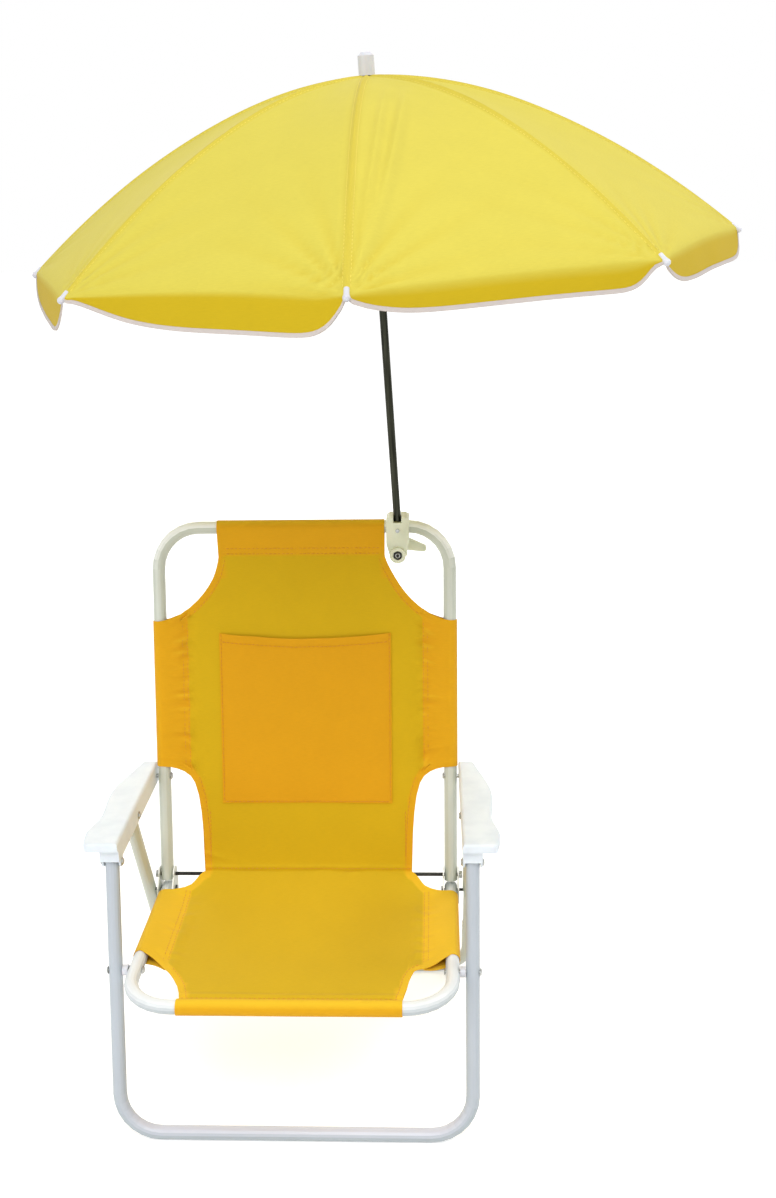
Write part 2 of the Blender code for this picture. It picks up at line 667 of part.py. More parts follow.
def tray_outline(side):
    """The hollow beside the leg channel, under the arm's widest part."""
    start = ARM_FRONT_DEPTH + ARM_WALL
    end = arm_depth(ARM_TRAY_END_SHARE)
    depths = [between(start, end, step / ARM_EDGE_STEPS) for step in range(ARM_EDGE_STEPS + 1)]
    outer = [(side * (arm_outer_at(depth) - ARM_WALL), depth) for depth in depths]
    bends = (end, arm_depth(ARM_TAPER_START_SHARE), start)
    inner = [(side * (channel_sides(depth)[1] + ARM_STEP), depth) for depth in bends]
    return outer + inner


def channel_outline(side, wall):
    """The plan of the leg channel under an armrest, or of its hollow when a wall is given."""
    start = ARM_CHANNEL_FRONT + wall
    taper = arm_depth(ARM_TAPER_START_SHARE)
    end = ARM_REAR_DEPTH - ARM_STEP - wall
    inner = [(side * (channel_sides(depth)[0] + wall), depth) for depth in (start, end)]
    outer = [(side * (channel_sides(depth)[1] - wall), depth) for depth in (end, taper, start)]
    return inner + outer


def round_top(obj, up, width):
    """Rounds the edges round the face that looks up."""
    shape = bmesh.new()
    shape.from_mesh(obj.data)
    shape.normal_update()
    tops = [face for face in shape.faces if face.normal.dot(up) > cos(ARM_TOP_ANGLE)]
    rim = {edge for face in tops for edge in face.edges if any(near not in tops for near in edge.link_faces)}
    bmesh.ops.bevel(shape, geom=list(rim), offset=width, segments=3, profile=0.5, affect="EDGES")
    shape.to_mesh(obj.data)
    shape.free()
    return obj


def arm_layer(name, outline, low, high):
    """A slab of the arm between two depths below its top."""
    plane = frame_matrix(ARM_ORIGIN + ARM_UP * ((low + high) / 2), ACROSS, ARM_ALONG)
    return plate(name, outline, high - low, plane)


def below_channel(lowest):
    """A cutter for all that lies under the leg channel, but for an ear round the front leg's pin."""
    front = ARM_FRONT_DEPTH - CUT_OVERRUN
    rear = ARM_REAR_DEPTH + CUT_OVERRUN
    edge = -ARM_CHANNEL_HEIGHT
    outline = [(front, edge), (ARM_PIN_ALONG - ARM_EAR_RADIUS, edge)]
    outline += arc(ARM_PIN_ALONG, -ARM_PIN_DEPTH, ARM_EAR_RADIUS, pi, pi)
    outline += [(ARM_PIN_ALONG + ARM_EAR_RADIUS, edge), (rear, edge), (rear, lowest), (front, lowest)]
    width = 2 * (ARM_CHANNEL_OUTER + ARM_WIDTH)
    return plate("below", outline, width, frame_matrix(ARM_ORIGIN, ARM_ALONG, ARM_UP))


def make_arms(white, pivot):
    deep = ARM_PIN_DEPTH + ARM_EAR_RADIUS + CUT_OVERRUN
    for label, side in both_sides():
        slab = arm_layer(f"armrest_{label}", arm_outline(side), -ARM_RIM_HEIGHT, 0)
        arm = round_top(slab, ARM_UP, ARM_EDGE_ROUND)
        channel = arm_layer("channel", channel_outline(side, 0), -deep, -ARM_RIM_HEIGHT / 2)
        cut(channel, below_channel(-deep - CUT_OVERRUN))
        join(arm, channel)
        low = -ARM_RIM_HEIGHT - CUT_OVERRUN
        cut(arm, arm_layer("tray", tray_outline(side), low, -ARM_TOP_THICKNESS))
        hollow = channel_outline(side, ARM_WALL)
        cut(arm, arm_layer("hollow", hollow, -deep - CUT_OVERRUN, -ARM_TOP_THICKNESS))
        for point in (ARM_FRONT_PIVOT, ARM_REAR_PIVOT, REAR_LEG_PIVOT):
            drill(arm, at_x(point, side * LEG_X), ACROSS, RIVET_RADIUS, LEG_X / 2)
        place(arm, white, pivot)


def sleeve_outline(depth):
    """A sleeve's section: round over the tube at 0, drawn in to a stitch line at the given depth."""
    radius = TUBE_RADIUS + SEAT_GAP + SLEEVE_CLOTH
    touch = acos((radius - STITCH_HALF_THICKNESS) / depth)
    outline = arc(0, 0, radius, touch, 2 * pi - 2 * touch)
    outline.append((depth, -STITCH_HALF_THICKNESS))
    outline.append((depth, STITCH_HALF_THICKNESS))
    return outline


def sleeve(start, end, inward, depth):
    """A sleeve round a tube from start to end, whose stitch line lies inward of the tube."""
    axis = (end - start).normalized()
    plane = frame_matrix((start + end) / 2, inward, axis.cross(inward))
    return plate("sleeve", sleeve_outline(depth + CLOTH), (end - start).length + CLOTH, plane)


def bore_tube(cloth, start, end):
    overrun = (end - start).normalized() * CUT_OVERRUN
    cut(cloth, cylinder("bore", start - overrun, end + overrun, TUBE_RADIUS + SEAT_GAP))


def mirrored(half):
    """A closed outline from its right half, listed from the middle bottom to the middle top."""
    return half + [(-x, y) for x, y in reversed(half)]


def between(low, high, share):
    return low + (high - low) * share


def make_back_sling(fabric, pivot):
    top = BACK_LENGTH - BACK_TOP_SLEEVE_DEPTH
    half = [(between(BACK_WAIST_HALF, RAIL_X, x), between(BACK_CLOTH_LOW, BACK_SLEEVE_LOW, y))
            for x, y in BACK_LOWER_SHARES]
    half += [(between(BACK_TOP_SLEEVE_HALF, RAIL_X, x), between(BACK_SLEEVE_HIGH, top, y))
             for x, y in BACK_UPPER_SHARES]
    half.append((BACK_TOP_SLEEVE_HALF, BACK_LENGTH))
    plane = frame_matrix(HINGE, ACROSS, LEAN_UP)
    sling = plate("back_sling", mirrored(half), CLOTH, plane)
    for _, side in both_sides():
        low = at_x(HINGE + LEAN_UP * BACK_SLEEVE_LOW, side * RAIL_X)
        high = at_x(HINGE + LEAN_UP * BACK_SLEEVE_HIGH, side * RAIL_X)
        join(sling, sleeve(low, high, -side * ACROSS, BACK_SLEEVE_DEPTH))
    left = at_x(TOP_BAR, -BACK_TOP_SLEEVE_HALF)
    right = at_x(TOP_BAR, BACK_TOP_SLEEVE_HALF)
    join(sling, sleeve(left, right, -LEAN_UP, BACK_TOP_SLEEVE_DEPTH))
    for _, side in both_sides():
        low = at_x(HINGE + LEAN_UP * BACK_SLEEVE_LOW, side * RAIL_X)
        high = at_x(HINGE + LEAN_UP * BACK_SLEEVE_HIGH, side * RAIL_X)
        bore_tube(sling, low, high)
    bore_tube(sling, left, right)
    place(sling, fabric, pivot)


def make_seat_sling(fabric, pivot):
    rear = HINGE_REACH - SEAT_RISER_SETBACK
    half = [(SEAT_FRONT_SLEEVE_HALF, -SEAT_FRONT_REACH)]
    front = -SEAT_FRONT_REACH + SEAT_FRONT_SLEEVE_DEPTH
    half += [(between(SEAT_FRONT_SLEEVE_HALF, RAIL_X, x), between(front, SEAT_SLEEVE_FRONT, y))
             for x, y in SEAT_FRONT_SHARES]
    half += [(between(SEAT_WAIST_HALF, RAIL_X, x), between(SEAT_SLEEVE_REAR, rear, y))
             for x, y in SEAT_REAR_SHARES]
    plane = frame_matrix(SEAT_PIVOT, ACROSS, RAIL_BACK)
    sling = plate("seat_sling", mirrored(half), CLOTH, plane)
    height = HINGE_RISE - SEAT_RISER_DROP + CLOTH
    riser_middle = SEAT_PIVOT + RAIL_BACK * rear + RAIL_UP * (height / 2 - CLOTH)
    riser = [(-SEAT_WAIST_HALF, -height / 2), (SEAT_WAIST_HALF, -height / 2)]
    riser += [(SEAT_WAIST_HALF, height / 2), (-SEAT_WAIST_HALF, height / 2)]
    join(sling, plate("riser", riser, RISER_CLOTH, frame_matrix(riser_middle, ACROSS, RAIL_UP)))
    for _, side in both_sides():
        low = at_x(SEAT_PIVOT + RAIL_BACK * SEAT_SLEEVE_FRONT, side * RAIL_X)
        high = at_x(SEAT_PIVOT + RAIL_BACK * SEAT_SLEEVE_REAR, side * RAIL_X)
        join(sling, sleeve(low, high, -side * ACROSS, SEAT_SLEEVE_DEPTH))
    left = at_x(SEAT_FRONT, -SEAT_FRONT_SLEEVE_HALF)
    right = at_x(SEAT_FRONT, SEAT_FRONT_SLEEVE_HALF)
    join(sling, sleeve(left, right, RAIL_BACK, SEAT_FRONT_SLEEVE_DEPTH))
    for _, side in both_sides():
        low = at_x(SEAT_PIVOT + RAIL_BACK * SEAT_SLEEVE_FRONT, side * RAIL_X)
        high = at_x(SEAT_PIVOT + RAIL_BACK * SEAT_SLEEVE_REAR, side * RAIL_X)
        bore_tube(sling, low, high)
    bore_tube(sling, left, right)
    place(sling, fabric, pivot)


def make_pocket(fabric, pivot):
    forward = ACROSS.cross(LEAN_UP)
    lift = CLOTH / 2 + SEAT_GAP + POCKET_CLOTH / 2
    plane = frame_matrix(HINGE + forward * lift, ACROSS, LEAN_UP)
    outline = [(-POCKET_HALF_WIDTH, POCKET_LOW), (POCKET_HALF_WIDTH, POCKET_LOW)]
    for step in range(ARC_STEPS + 1):
        share = step / ARC_STEPS
        x = between(POCKET_HALF_WIDTH, -POCKET_HALF_WIDTH, share)
        outline.append((x, POCKET_HIGH - POCKET_SAG * 4 * share * (1 - share)))
    place(plate("back_pocket", outline, POCKET_CLOTH, plane), fabric, pivot)


def clamp_front_outline():
    """The clamp's front face from the front: square shoulders and a round foot about the bolt."""
    half = CLAMP_WIDTH / 2
    shoulder = half - CLAMP_BOLT_DROP
    outline = arc(half - CLAMP_CORNER, CLAMP_TOP - CLAMP_CORNER, CLAMP_CORNER, 0, pi / 2)
    outline += arc(CLAMP_CORNER - half, CLAMP_TOP - CLAMP_CORNER, CLAMP_CORNER, pi / 2, pi / 2)
    outline.append((-half, shoulder))
    outline += arc(0, -CLAMP_BOLT_DROP, BOSS_RADIUS, pi, pi)
    outline.append((half, shoulder))
    return outline


def make_clamp(ivory, dark, zinc, pivot, lever_pivot):
    front_face = frame_matrix(CLAMP_CENTRE, ACROSS, (0, 0, 1))
    depth = CLAMP_FRONT - CLAMP_SPLIT
    block_middle = Vector((0, -(CLAMP_FRONT + CLAMP_SPLIT) / 2, 0))
    body = plate("clamp_body", clamp_front_outline(), depth, Matrix.Translation(block_middle) @ front_face)
    side_face = frame_matrix(CLAMP_CENTRE, (0, 1, 0), (0, 0, 1))
    inner = TUBE_RADIUS + SEAT_GAP
    back = JAW_REACH
    crown = inner + CLAMP_HOOK
    hook = [(-CLAMP_SPLIT - CLAMP_HOOK, 0), (back, 0), (back, inner), (inner, crown)]
    hook += [(-CLAMP_SPLIT - CLAMP_HOOK, crown)]
    join(body, plate("hook", hook, CLAMP_WIDTH - SEAT_GAP, side_face))
    bolt = CLAMP_CENTRE - Vector((0, 0, CLAMP_BOLT_DROP))
    forward = Vector((0, -1, 0))
    face = bolt + forward * CLAMP_FRONT
    join(body, cylinder("boss", face - forward * BOSS_HEIGHT, face + forward * BOSS_HEIGHT, BOSS_RADIUS))
    overrun = ACROSS * CLAMP_WIDTH
    cut(body, cylinder("bar", CLAMP_CENTRE - overrun, CLAMP_CENTRE + overrun, inner))
    recess = face + forward * (BOSS_HEIGHT - BOLT_HEAD_HEIGHT)
    room = BOLT_HEAD_RADIUS + SEAT_GAP
    cut(body, cylinder("recess", recess, recess + forward * CUT_OVERRUN, room))
    drill(body, bolt, forward, BOLT_RADIUS, CLAMP_FRONT * 4)
    bore_top = POLE_BASE + POLE_AXIS * (CLAMP_TOP + CUT_OVERRUN)
    bore_end = POLE_BASE + POLE_AXIS * (POLE_BOTTOM - SEAT_GAP)
    cut(body, cylinder("bore", bore_end, bore_top, POLE_RADIUS + SEAT_GAP))
    half = POLE_RADIUS + SEAT_GAP
    notch_low = Vector((POLE_BASE.x - half, POLE_BASE.y - CLAMP_FRONT, POLE_BASE.z))
    notch_high = Vector((POLE_BASE.x + half, POLE_BASE.y, POLE_BASE.z + CLAMP_TOP))
    cut(body, box("notch", notch_low, notch_high))
    screw = Vector((POLE_BASE.x, CLAMP_CENTRE.y - CLAMP_FRONT, CLAMP_CENTRE.z + SET_SCREW_HEIGHT))
    hole_end = screw - forward * (CLAMP_FRONT - POLE_FORWARD)
    room = SET_SCREW_RADIUS + SEAT_GAP
    cut(body, cylinder("screw_hole", screw + forward * CUT_OVERRUN, hole_end, room, PIN_SIDES))
    place(body, ivory, pivot)
    tip = screw - forward * (CLAMP_FRONT - POLE_FORWARD - POLE_RADIUS - SEAT_GAP)
    outside = screw + forward * SEAT_GAP
    set_screw = cylinder("pole_set_screw", tip, outside + forward * SEAT_GAP, SET_SCREW_RADIUS, PIN_SIDES)
    head = outside + forward * SET_SCREW_HEAD_HEIGHT
    join(set_screw, cylinder("head", outside, head, SET_SCREW_HEAD_RADIUS, PIN_SIDES))
    place(set_screw, zinc, pivot)
    make_jaw(ivory, pivot, side_face, bolt)
    rear = JAW_REACH + SEAT_GAP + LEVER_THICKNESS
    bolt_front = recess + forward * SEAT_GAP
    stem = cylinder("clamp_bolt", bolt_front, bolt - forward * rear, BOLT_RADIUS, PIN_SIDES)
    head = bolt_front + forward * (BOLT_HEAD_HEIGHT - SEAT_GAP)
    join(stem, cylinder("head", bolt_front, head, BOLT_HEAD_RADIUS, NUT_SIDES))
    place(stem, dark, pivot)
    make_lever(ivory, lever_pivot, bolt)


def make_jaw(ivory, pivot, side_face, bolt):
    """The loose half of the clamp: it closes on the bar from behind and below."""
    foot = -CLAMP_BOLT_DROP - BOSS_RADIUS
    near = -CLAMP_SPLIT + CLAMP_JAW_GAP
    outline = [(near, foot), (JAW_REACH, foot), (JAW_REACH, -CLAMP_JAW_GAP), (near, -CLAMP_JAW_GAP)]
    jaw = plate("clamp_jaw", outline, CLAMP_WIDTH - CLAMP_CORNER, side_face)
    inner = TUBE_RADIUS + SEAT_GAP
    overrun = ACROSS * CLAMP_WIDTH
    cut(jaw, cylinder("bar", CLAMP_CENTRE - overrun, CLAMP_CENTRE + overrun, inner))
    drill(jaw, bolt, (0, 1, 0), BOLT_RADIUS, CLAMP_FRONT * 4)
    place(jaw, ivory, pivot)


def make_lever(ivory, pivot, bolt):
    """A tapered thumb lever that turns on the clamp bolt behind the jaw."""
    middle = bolt + Vector((0, JAW_REACH + SEAT_GAP + LEVER_THICKNESS / 2, 0))
    along = Vector((cos(LEVER_SLOPE), 0, sin(LEVER_SLOPE)))
    upward = Vector((-sin(LEVER_SLOPE), 0, cos(LEVER_SLOPE)))
    spread = acos((LEVER_HUB_RADIUS - LEVER_TIP_RADIUS) / LEVER_REACH)
    outline = arc(0, 0, LEVER_HUB_RADIUS, spread, 2 * pi - 2 * spread)
    outline += arc(LEVER_REACH, 0, LEVER_TIP_RADIUS, -spread, 2 * spread)
    plane = frame_matrix(middle, along, upward)
    lever = plate("clamp_lever", outline, LEVER_THICKNESS, plane)
    drill(lever, middle, (0, 1, 0), BOLT_RADIUS, LEVER_THICKNESS * 2)
    place(lever, ivory, pivot)


def umbrella_matrix():
    side = Vector((0, 1, 0)).cross(POLE_AXIS).normalized()
    back = POLE_AXIS.cross(side)
    turn = Matrix.Rotation(CANOPY_TURN, 4, "Z")
    rotation = Matrix((side, back, POLE_AXIS)).transposed().to_4x4()
    return Matrix.Translation(POLE_BASE) @ rotation @ turn


def on_umbrella(angle, radius, height, sideways=0):
    """A world point from an angle round the pole, a radius, a height along it and a sideways shift."""
    x = radius * sin(angle) + sideways * cos(angle)
    y = -radius * cos(angle) + sideways * sin(angle)
    return umbrella_matrix() @ Vector((x, y, height))


def dome_height(share):
    return RIM_HEIGHT + CANOPY_RISE * (1 - share**DOME_POWER)


def ring_share(ring):
    return between(CANOPY_HOLE / CANOPY_RADIUS, 1, ring / DOME_RINGS)


def cloth_height(radius):
    """The height of the cloth over a rib, which is straight between its rings."""
    share = radius / CANOPY_RADIUS
    for ring in range(DOME_RINGS):
        low = ring_share(ring)
        high = ring_share(ring + 1)
        if share <= high or ring == DOME_RINGS - 1:
            return between(dome_height(low), dome_height(high), (share - low) / (high - low))


def rib_height(radius):
    """A rib's centre line, which keeps its clearance square to the steepest cloth beside it."""
    share = min(1, radius / CANOPY_RADIUS + 1 / DOME_RINGS)
    slope = CANOPY_RISE / CANOPY_RADIUS * DOME_POWER * share ** (DOME_POWER - 1) / cos(pi / GORES)
    return cloth_height(radius) - RIB_DROP * hypot(1, slope + GORE_DIP_SLOPE)


def scallop(share):
    """How far the hem hangs below the rib tips across one gore, from 0 at a tip to 1."""
    rise = 1 - exp(-share / SCALLOP_LEFT_SHARE)
    fall = 1 - exp(-(1 - share) / SCALLOP_RIGHT_SHARE)
    return rise * fall


def canopy_point(gore, step, ring):
    """A point of the cloth's middle surface in one gore: rings past the rim are the valance."""
    across = step / GORE_STEPS
    left = 2 * pi * gore / GORES
    right = 2 * pi * (gore + 1) / GORES
    share = ring_share(min(ring, DOME_RINGS))
    radius = CANOPY_RADIUS * share
    x = between(sin(left), sin(right), across) * radius
    y = -between(cos(left), cos(right), across) * radius
    slack = GORE_SLACK * sin(pi * share) * 4 * across * (1 - across)
    height = dome_height(share) - slack
    if ring > DOME_RINGS:
        hang = between(VALANCE_TIP_DROP, VALANCE_DROP, scallop(across))
        drop = hang * (ring - DOME_RINGS) / VALANCE_RINGS
        outward = Vector((x, y)).normalized() * drop * VALANCE_OUTWARD_SHARE
        x += outward.x
        y += outward.y
        height -= drop
    return umbrella_matrix() @ Vector((x, y, height))


def make_canopy(cloth, pivot):
    shape = bmesh.new()
    columns = [(gore, step) for gore in range(GORES) for step in range(GORE_STEPS)]
    rows = []
    for gore, step in columns:
        rows.append([shape.verts.new(canopy_point(gore, step, ring))
                     for ring in range(DOME_RINGS + VALANCE_RINGS + 1)])
    for n, row in enumerate(rows):
        after = rows[(n + 1) % len(rows)]
        for ring in range(len(row) - 1):
            shape.faces.new((row[ring], row[ring + 1], after[ring + 1], after[ring]))
    bmesh.ops.recalc_face_normals(shape, faces=shape.faces)
    mesh = bpy.data.meshes.new("canopy")
    shape.to_mesh(mesh)
    shape.free()
    canopy = link(bpy.data.objects.new("canopy", mesh))
    shell = canopy.modifiers.new("cloth", "SOLIDIFY")
    shell.thickness = CANOPY_CLOTH
    shell.offset = 0
    place(canopy, cloth, pivot)


def make_pole(steel, plastic, pivots):
    top = APEX_HEIGHT + POLE_TOP_INSERT
    start = umbrella_matrix() @ Vector((0, 0, POLE_BOTTOM))
    end = umbrella_matrix() @ Vector((0, 0, top))
    place(cylinder("pole", start, end, POLE_RADIUS), steel, pivots["umbrella"])
    bore = POLE_RADIUS + SEAT_GAP
    crown_top = cloth_height(CROWN_RADIUS / cos(pi / GORES)) - CANOPY_CLOTH - SEAT_GAP
    lip_low = crown_top - CROWN_LIP
    profile = [(bore, crown_top), (bore, crown_top - CROWN_HEIGHT)]
    profile += [(RUNNER_RADIUS, crown_top - CROWN_HEIGHT), (RUNNER_RADIUS, lip_low)]
    profile += [(CROWN_RADIUS, lip_low), (CROWN_RADIUS, crown_top)]
    place(hub("umbrella_crown", profile[::-1]), plastic, pivots["umbrella"])
    base = APEX_HEIGHT + CANOPY_CLOTH / 2 + SEAT_GAP
    tip = base + FINIAL_HEIGHT
    profile = [(0, tip), (FINIAL_RADIUS - FINIAL_ROUND, tip), (FINIAL_RADIUS, tip - FINIAL_ROUND)]
    profile += [(FINIAL_RADIUS, base), (bore, base), (bore, top + SEAT_GAP), (0, top + SEAT_GAP)]
    place(hub("finial", profile), plastic, pivots["umbrella"])
    flange_top = runner_height() + RUNNER_FLANGE / 2
    flange_low = runner_height() - RUNNER_FLANGE / 2
    foot = flange_top - RUNNER_LENGTH
    profile = [(bore, flange_top), (CROWN_RADIUS, flange_top), (CROWN_RADIUS, flange_low)]
    profile += [(RUNNER_RADIUS, flange_low), (RUNNER_RADIUS, foot), (bore, foot)]
    place(hub("runner", profile), plastic, pivots["runner"])


def hub(name, profile):
    """A turned piece on the umbrella's pole."""
    base = umbrella_matrix() @ Vector((0, 0, 0))
    return turned(name, base, POLE_AXIS, profile)


def crown_height():
    return rib_height(HUB_PIVOT_RADIUS)


def rib_joint():
    """Radius and height of the joint where a stretcher meets its rib."""
    radius = HUB_PIVOT_RADIUS + STRETCHER_REACH
    return radius, rib_height(radius)


def runner_height():
    """A stretcher is as long as the rib's inner part, so the runner hangs as far below its joint."""
    return 2 * rib_joint()[1] - crown_height()


def make_spokes(steel, dark, parent):
    """The ribs, and on each the stretcher that pushes it open from the runner."""
    sideways = RIB_RADIUS + STRETCHER_RADIUS + SEAT_GAP
    tip = CANOPY_RADIUS - RIB_TIP_INSET
    bends = [CANOPY_RADIUS * ring_share(ring) for ring in range(1, DOME_RINGS)]
    radii = [HUB_PIVOT_RADIUS, *bends, tip]
    joint_radius, joint_height = rib_joint()
    for spoke in range(GORES):
        angle = 2 * pi * spoke / GORES
        points = [on_umbrella(angle, radius, rib_height(radius)) for radius in radii]
        rib_pivot = pivot_at(f"rib_{spoke + 1}_pivot", points[0], parent)
        rib = tube(f"rib_{spoke + 1}", points, RIB_RADIUS, WIRE_BEVEL_STEPS)
        place(rib, steel, rib_pivot)
        outer = on_umbrella(angle, joint_radius, joint_height, sideways)
        inner = on_umbrella(angle, HUB_PIVOT_RADIUS, runner_height(), sideways)
        stretcher_pivot = pivot_at(f"stretcher_{spoke + 1}_pivot", outer, rib_pivot)
        stretcher = tube(f"stretcher_{spoke + 1}", [inner, outer], STRETCHER_RADIUS, WIRE_BEVEL_STEPS)
        place(stretcher, dark, stretcher_pivot)


def main():
    clear_scene()
    paint = material("white_powder_coated_steel", PAINT, 0.35)
    arm_plastic = material("white_moulded_plastic", ARM_WHITE, 0.4)
    clamp_plastic = material("ivory_moulded_plastic", CLAMP_IVORY, 0.45)
    zinc = material("zinc_plated_steel", STEEL, 0.35, 1)
    dark = material("dark_plated_steel", DARK_STEEL, 0.4, 1)
    bright = material("bright_plated_steel", STEEL, 0.2, 1)
    hub_plastic = material("white_hub_plastic", ARM_WHITE, 0.4)
    back_cloth = material("yellow_polyester_back", BACK_YELLOW, 0.85)
    seat_cloth = material("yellow_polyester_seat", SEAT_YELLOW, 0.85)
    pocket_cloth = material("orange_polyester_pocket", POCKET_ORANGE, 0.85)
    canopy_cloth = material("pale_yellow_polyester_canopy", CANOPY_YELLOW, 0.7)
    seat = pivot_at("chair_root", (0, 0, 0))
    back = pivot_at("back_pivot", HINGE, seat)
    arms = pivot_at("arm_pivot", ARM_REAR_PIVOT, back)
    front_legs = pivot_at("front_leg_pivot", SEAT_PIVOT, seat)
    rear_legs = pivot_at("rear_leg_pivot", REAR_LEG_PIVOT, arms)
    clamp = pivot_at("clamp_pivot", CLAMP_CENTRE, back)
    lever = pivot_at("lever_pivot", CLAMP_CENTRE - Vector((0, 0, CLAMP_BOLT_DROP)), clamp)
    umbrella = pivot_at("umbrella_pivot", POLE_BASE, clamp)
    runner = pivot_at("runner_pivot", umbrella_matrix() @ Vector((0, 0, runner_height())), umbrella)
    make_front_legs(paint, front_legs)
    make_rear_legs(paint, rear_legs)
    make_seat_frame(paint, seat)
    make_back_frame(paint, back)
    make_hinge(paint, zinc, dark, seat)
    make_rivets(zinc, dark, hub_plastic, {"seat": seat, "arms": arms})
    make_arms(arm_plastic, arms)
    make_back_sling(back_cloth, back)
    make_seat_sling(seat_cloth, seat)
    make_pocket(pocket_cloth, back)
    make_clamp(clamp_plastic, dark, zinc, clamp, lever)
    make_pole(bright, hub_plastic, {"umbrella": umbrella, "runner": runner})
    make_spokes(bright, dark, umbrella)
    make_canopy(canopy_cloth, umbrella)


main()
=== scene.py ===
"""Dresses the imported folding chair: cloth slings, umbrella canopy, stitching, finishes, light and camera.

Metres, +Z up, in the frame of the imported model. The chair faces -Y.
"""

from math import acos, cos, exp, pi, radians, sin, tan

import bmesh
import bpy
import numpy as np
from mathutils import Matrix, Vector, noise


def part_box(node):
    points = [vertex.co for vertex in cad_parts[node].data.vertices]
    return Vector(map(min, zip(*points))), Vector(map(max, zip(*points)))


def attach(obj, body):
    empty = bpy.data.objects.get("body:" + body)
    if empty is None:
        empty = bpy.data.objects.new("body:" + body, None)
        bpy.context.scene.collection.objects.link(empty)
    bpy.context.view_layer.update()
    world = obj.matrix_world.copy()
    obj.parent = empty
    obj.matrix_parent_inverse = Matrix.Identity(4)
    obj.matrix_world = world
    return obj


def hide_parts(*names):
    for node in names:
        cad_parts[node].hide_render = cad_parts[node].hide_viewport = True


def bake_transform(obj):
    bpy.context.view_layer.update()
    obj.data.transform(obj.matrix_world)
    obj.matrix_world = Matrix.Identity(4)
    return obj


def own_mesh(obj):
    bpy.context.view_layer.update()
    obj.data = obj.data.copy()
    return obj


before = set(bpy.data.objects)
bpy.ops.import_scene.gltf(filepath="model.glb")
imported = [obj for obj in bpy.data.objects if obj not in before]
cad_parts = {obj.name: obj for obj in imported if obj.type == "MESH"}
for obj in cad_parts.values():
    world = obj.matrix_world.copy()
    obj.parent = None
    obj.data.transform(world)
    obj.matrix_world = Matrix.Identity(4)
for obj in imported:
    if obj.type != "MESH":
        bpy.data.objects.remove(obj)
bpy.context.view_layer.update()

# Frame geometry, as in the part's source
TUBE_RADIUS = 0.007
LEAN = radians(15)
SEAT_DROP = radians(4.78)
RAIL_X = 0.159
FLOOR_AXIS_HEIGHT = 0.0068
SEAT_PIVOT_UP_LEG = 0.1716
HINGE_REACH = 0.1674
HINGE_RISE = 0.0167
SEAT_FRONT_REACH = 0.063
BACK_LENGTH = 0.3885
LEAN_UP = Vector((0, sin(LEAN), cos(LEAN)))
BACK_OUT = Vector((0, -cos(LEAN), sin(LEAN)))
RAIL_BACK = Vector((0, cos(SEAT_DROP), -sin(SEAT_DROP)))
RAIL_UP = Vector((0, sin(SEAT_DROP), cos(SEAT_DROP)))
SEAT_PIVOT = Vector((0, 0, FLOOR_AXIS_HEIGHT)) + LEAN_UP * SEAT_PIVOT_UP_LEG
HINGE = SEAT_PIVOT + RAIL_BACK * HINGE_REACH + RAIL_UP * HINGE_RISE
TOP_BAR = HINGE + LEAN_UP * BACK_LENGTH

# Cloth
CLOTH = 0.0006
WRAP_RADIUS = TUBE_RADIUS + 0.0006
STITCH_X = 0.130
SLEEVE_DEPTH = RAIL_X - STITCH_X
TOP_HALF = 0.0910
TOP_SHIFT = -0.0025
TOP_STITCH = 0.3600
CREASE = 0.004
CREASE_OUT = 0.0028
WAIST_HALF = 0.1158
HEM = 0.008
HEM_STITCH = HEM - 0.001
HEM_STITCH_END = 0.128
SEAT_CLOTH_START = -0.2
FRONT_SLEEVE_DEPTH = 0.0131
SLEEVE_SLOPE = 0.0074 / 0.027
TOP_SLEEVE_SLOPE = 0.0074 / 0.0265
POCKET_HALF = 0.0945
POCKET_LOW = 0.0812
POCKET_HIGH = 0.2722
POCKET_SAG = 0.0062

# Umbrella. Gores are counted anticlockwise from above: 0 is right of the front seam and 7 left of it, as
# the camera sees them. Each is sewn a little differently.
POLE_FORWARD = 0.0212
CLAMP_X = 0.1034
NOTCH_HEIGHT = 0.013
SIDE_LEAN = radians(-2.9)
BACK_LEAN = radians(1.27)
CANOPY_TURN = radians(-1.56)
RIM_HEIGHT = 0.2793
CANOPY_RISE = 0.1605
CANOPY_RADIUS = 0.3478
CANOPY_HOLE = 0.0056
DOME_POWER = 1.85
GORES = 8
DOME_LENGTH = 0.39
DOME_ROWS = 54
DOME_CROWDING = 0.80
GORE_COLUMNS = 26
GORE_SAG = 0.0042
SEAM_RISE = 0.0010
CREASE_REACH = 0.050
RIM_ROUND = 0.0016
RIM_LIFT = 0.0040
RIM_LIFTS = {7: 0.0056, 0: 0.0044, 1: 0.0060}
# How far below the fold the valance's painted shade spreads, as a share of the valance's length
VALANCE_SHADE_SPREAD = 0.30
VALANCE_SHADE_SPREADS = {7: 0.20, 0: 0.46}
VALANCE_DROP = 0.0335
VALANCE_SHARES = {7: 1.0, 0: 0.73, 1: 0.90}
VALANCE_TIP_DROP = 0.0040
VALANCE_OUTWARD = 0.26
VALANCE_ROWS = (3, 10, 20, 30, 40, 50, 60, 70, 80, 90, 100)
BINDING = 0.0034
BINDING_ROWS = (0.93, 0.5, 0.0)
SEAM_STITCH = 0.0032
# The reach of the hem's rounding at each end of a gore, as a share of its width, and its power
SCALLOP_LEFT = (0.16, 1.0)
SCALLOPS_LEFT = {7: (0.24, 1.6), 0: (0.10, 1.0), 1: (0.09, 1.0)}
SCALLOP_RIGHT = (0.05, 1.0)
SCALLOPS_RIGHT = {7: (0.058, 1.25), 0: (0.082, 2.2)}

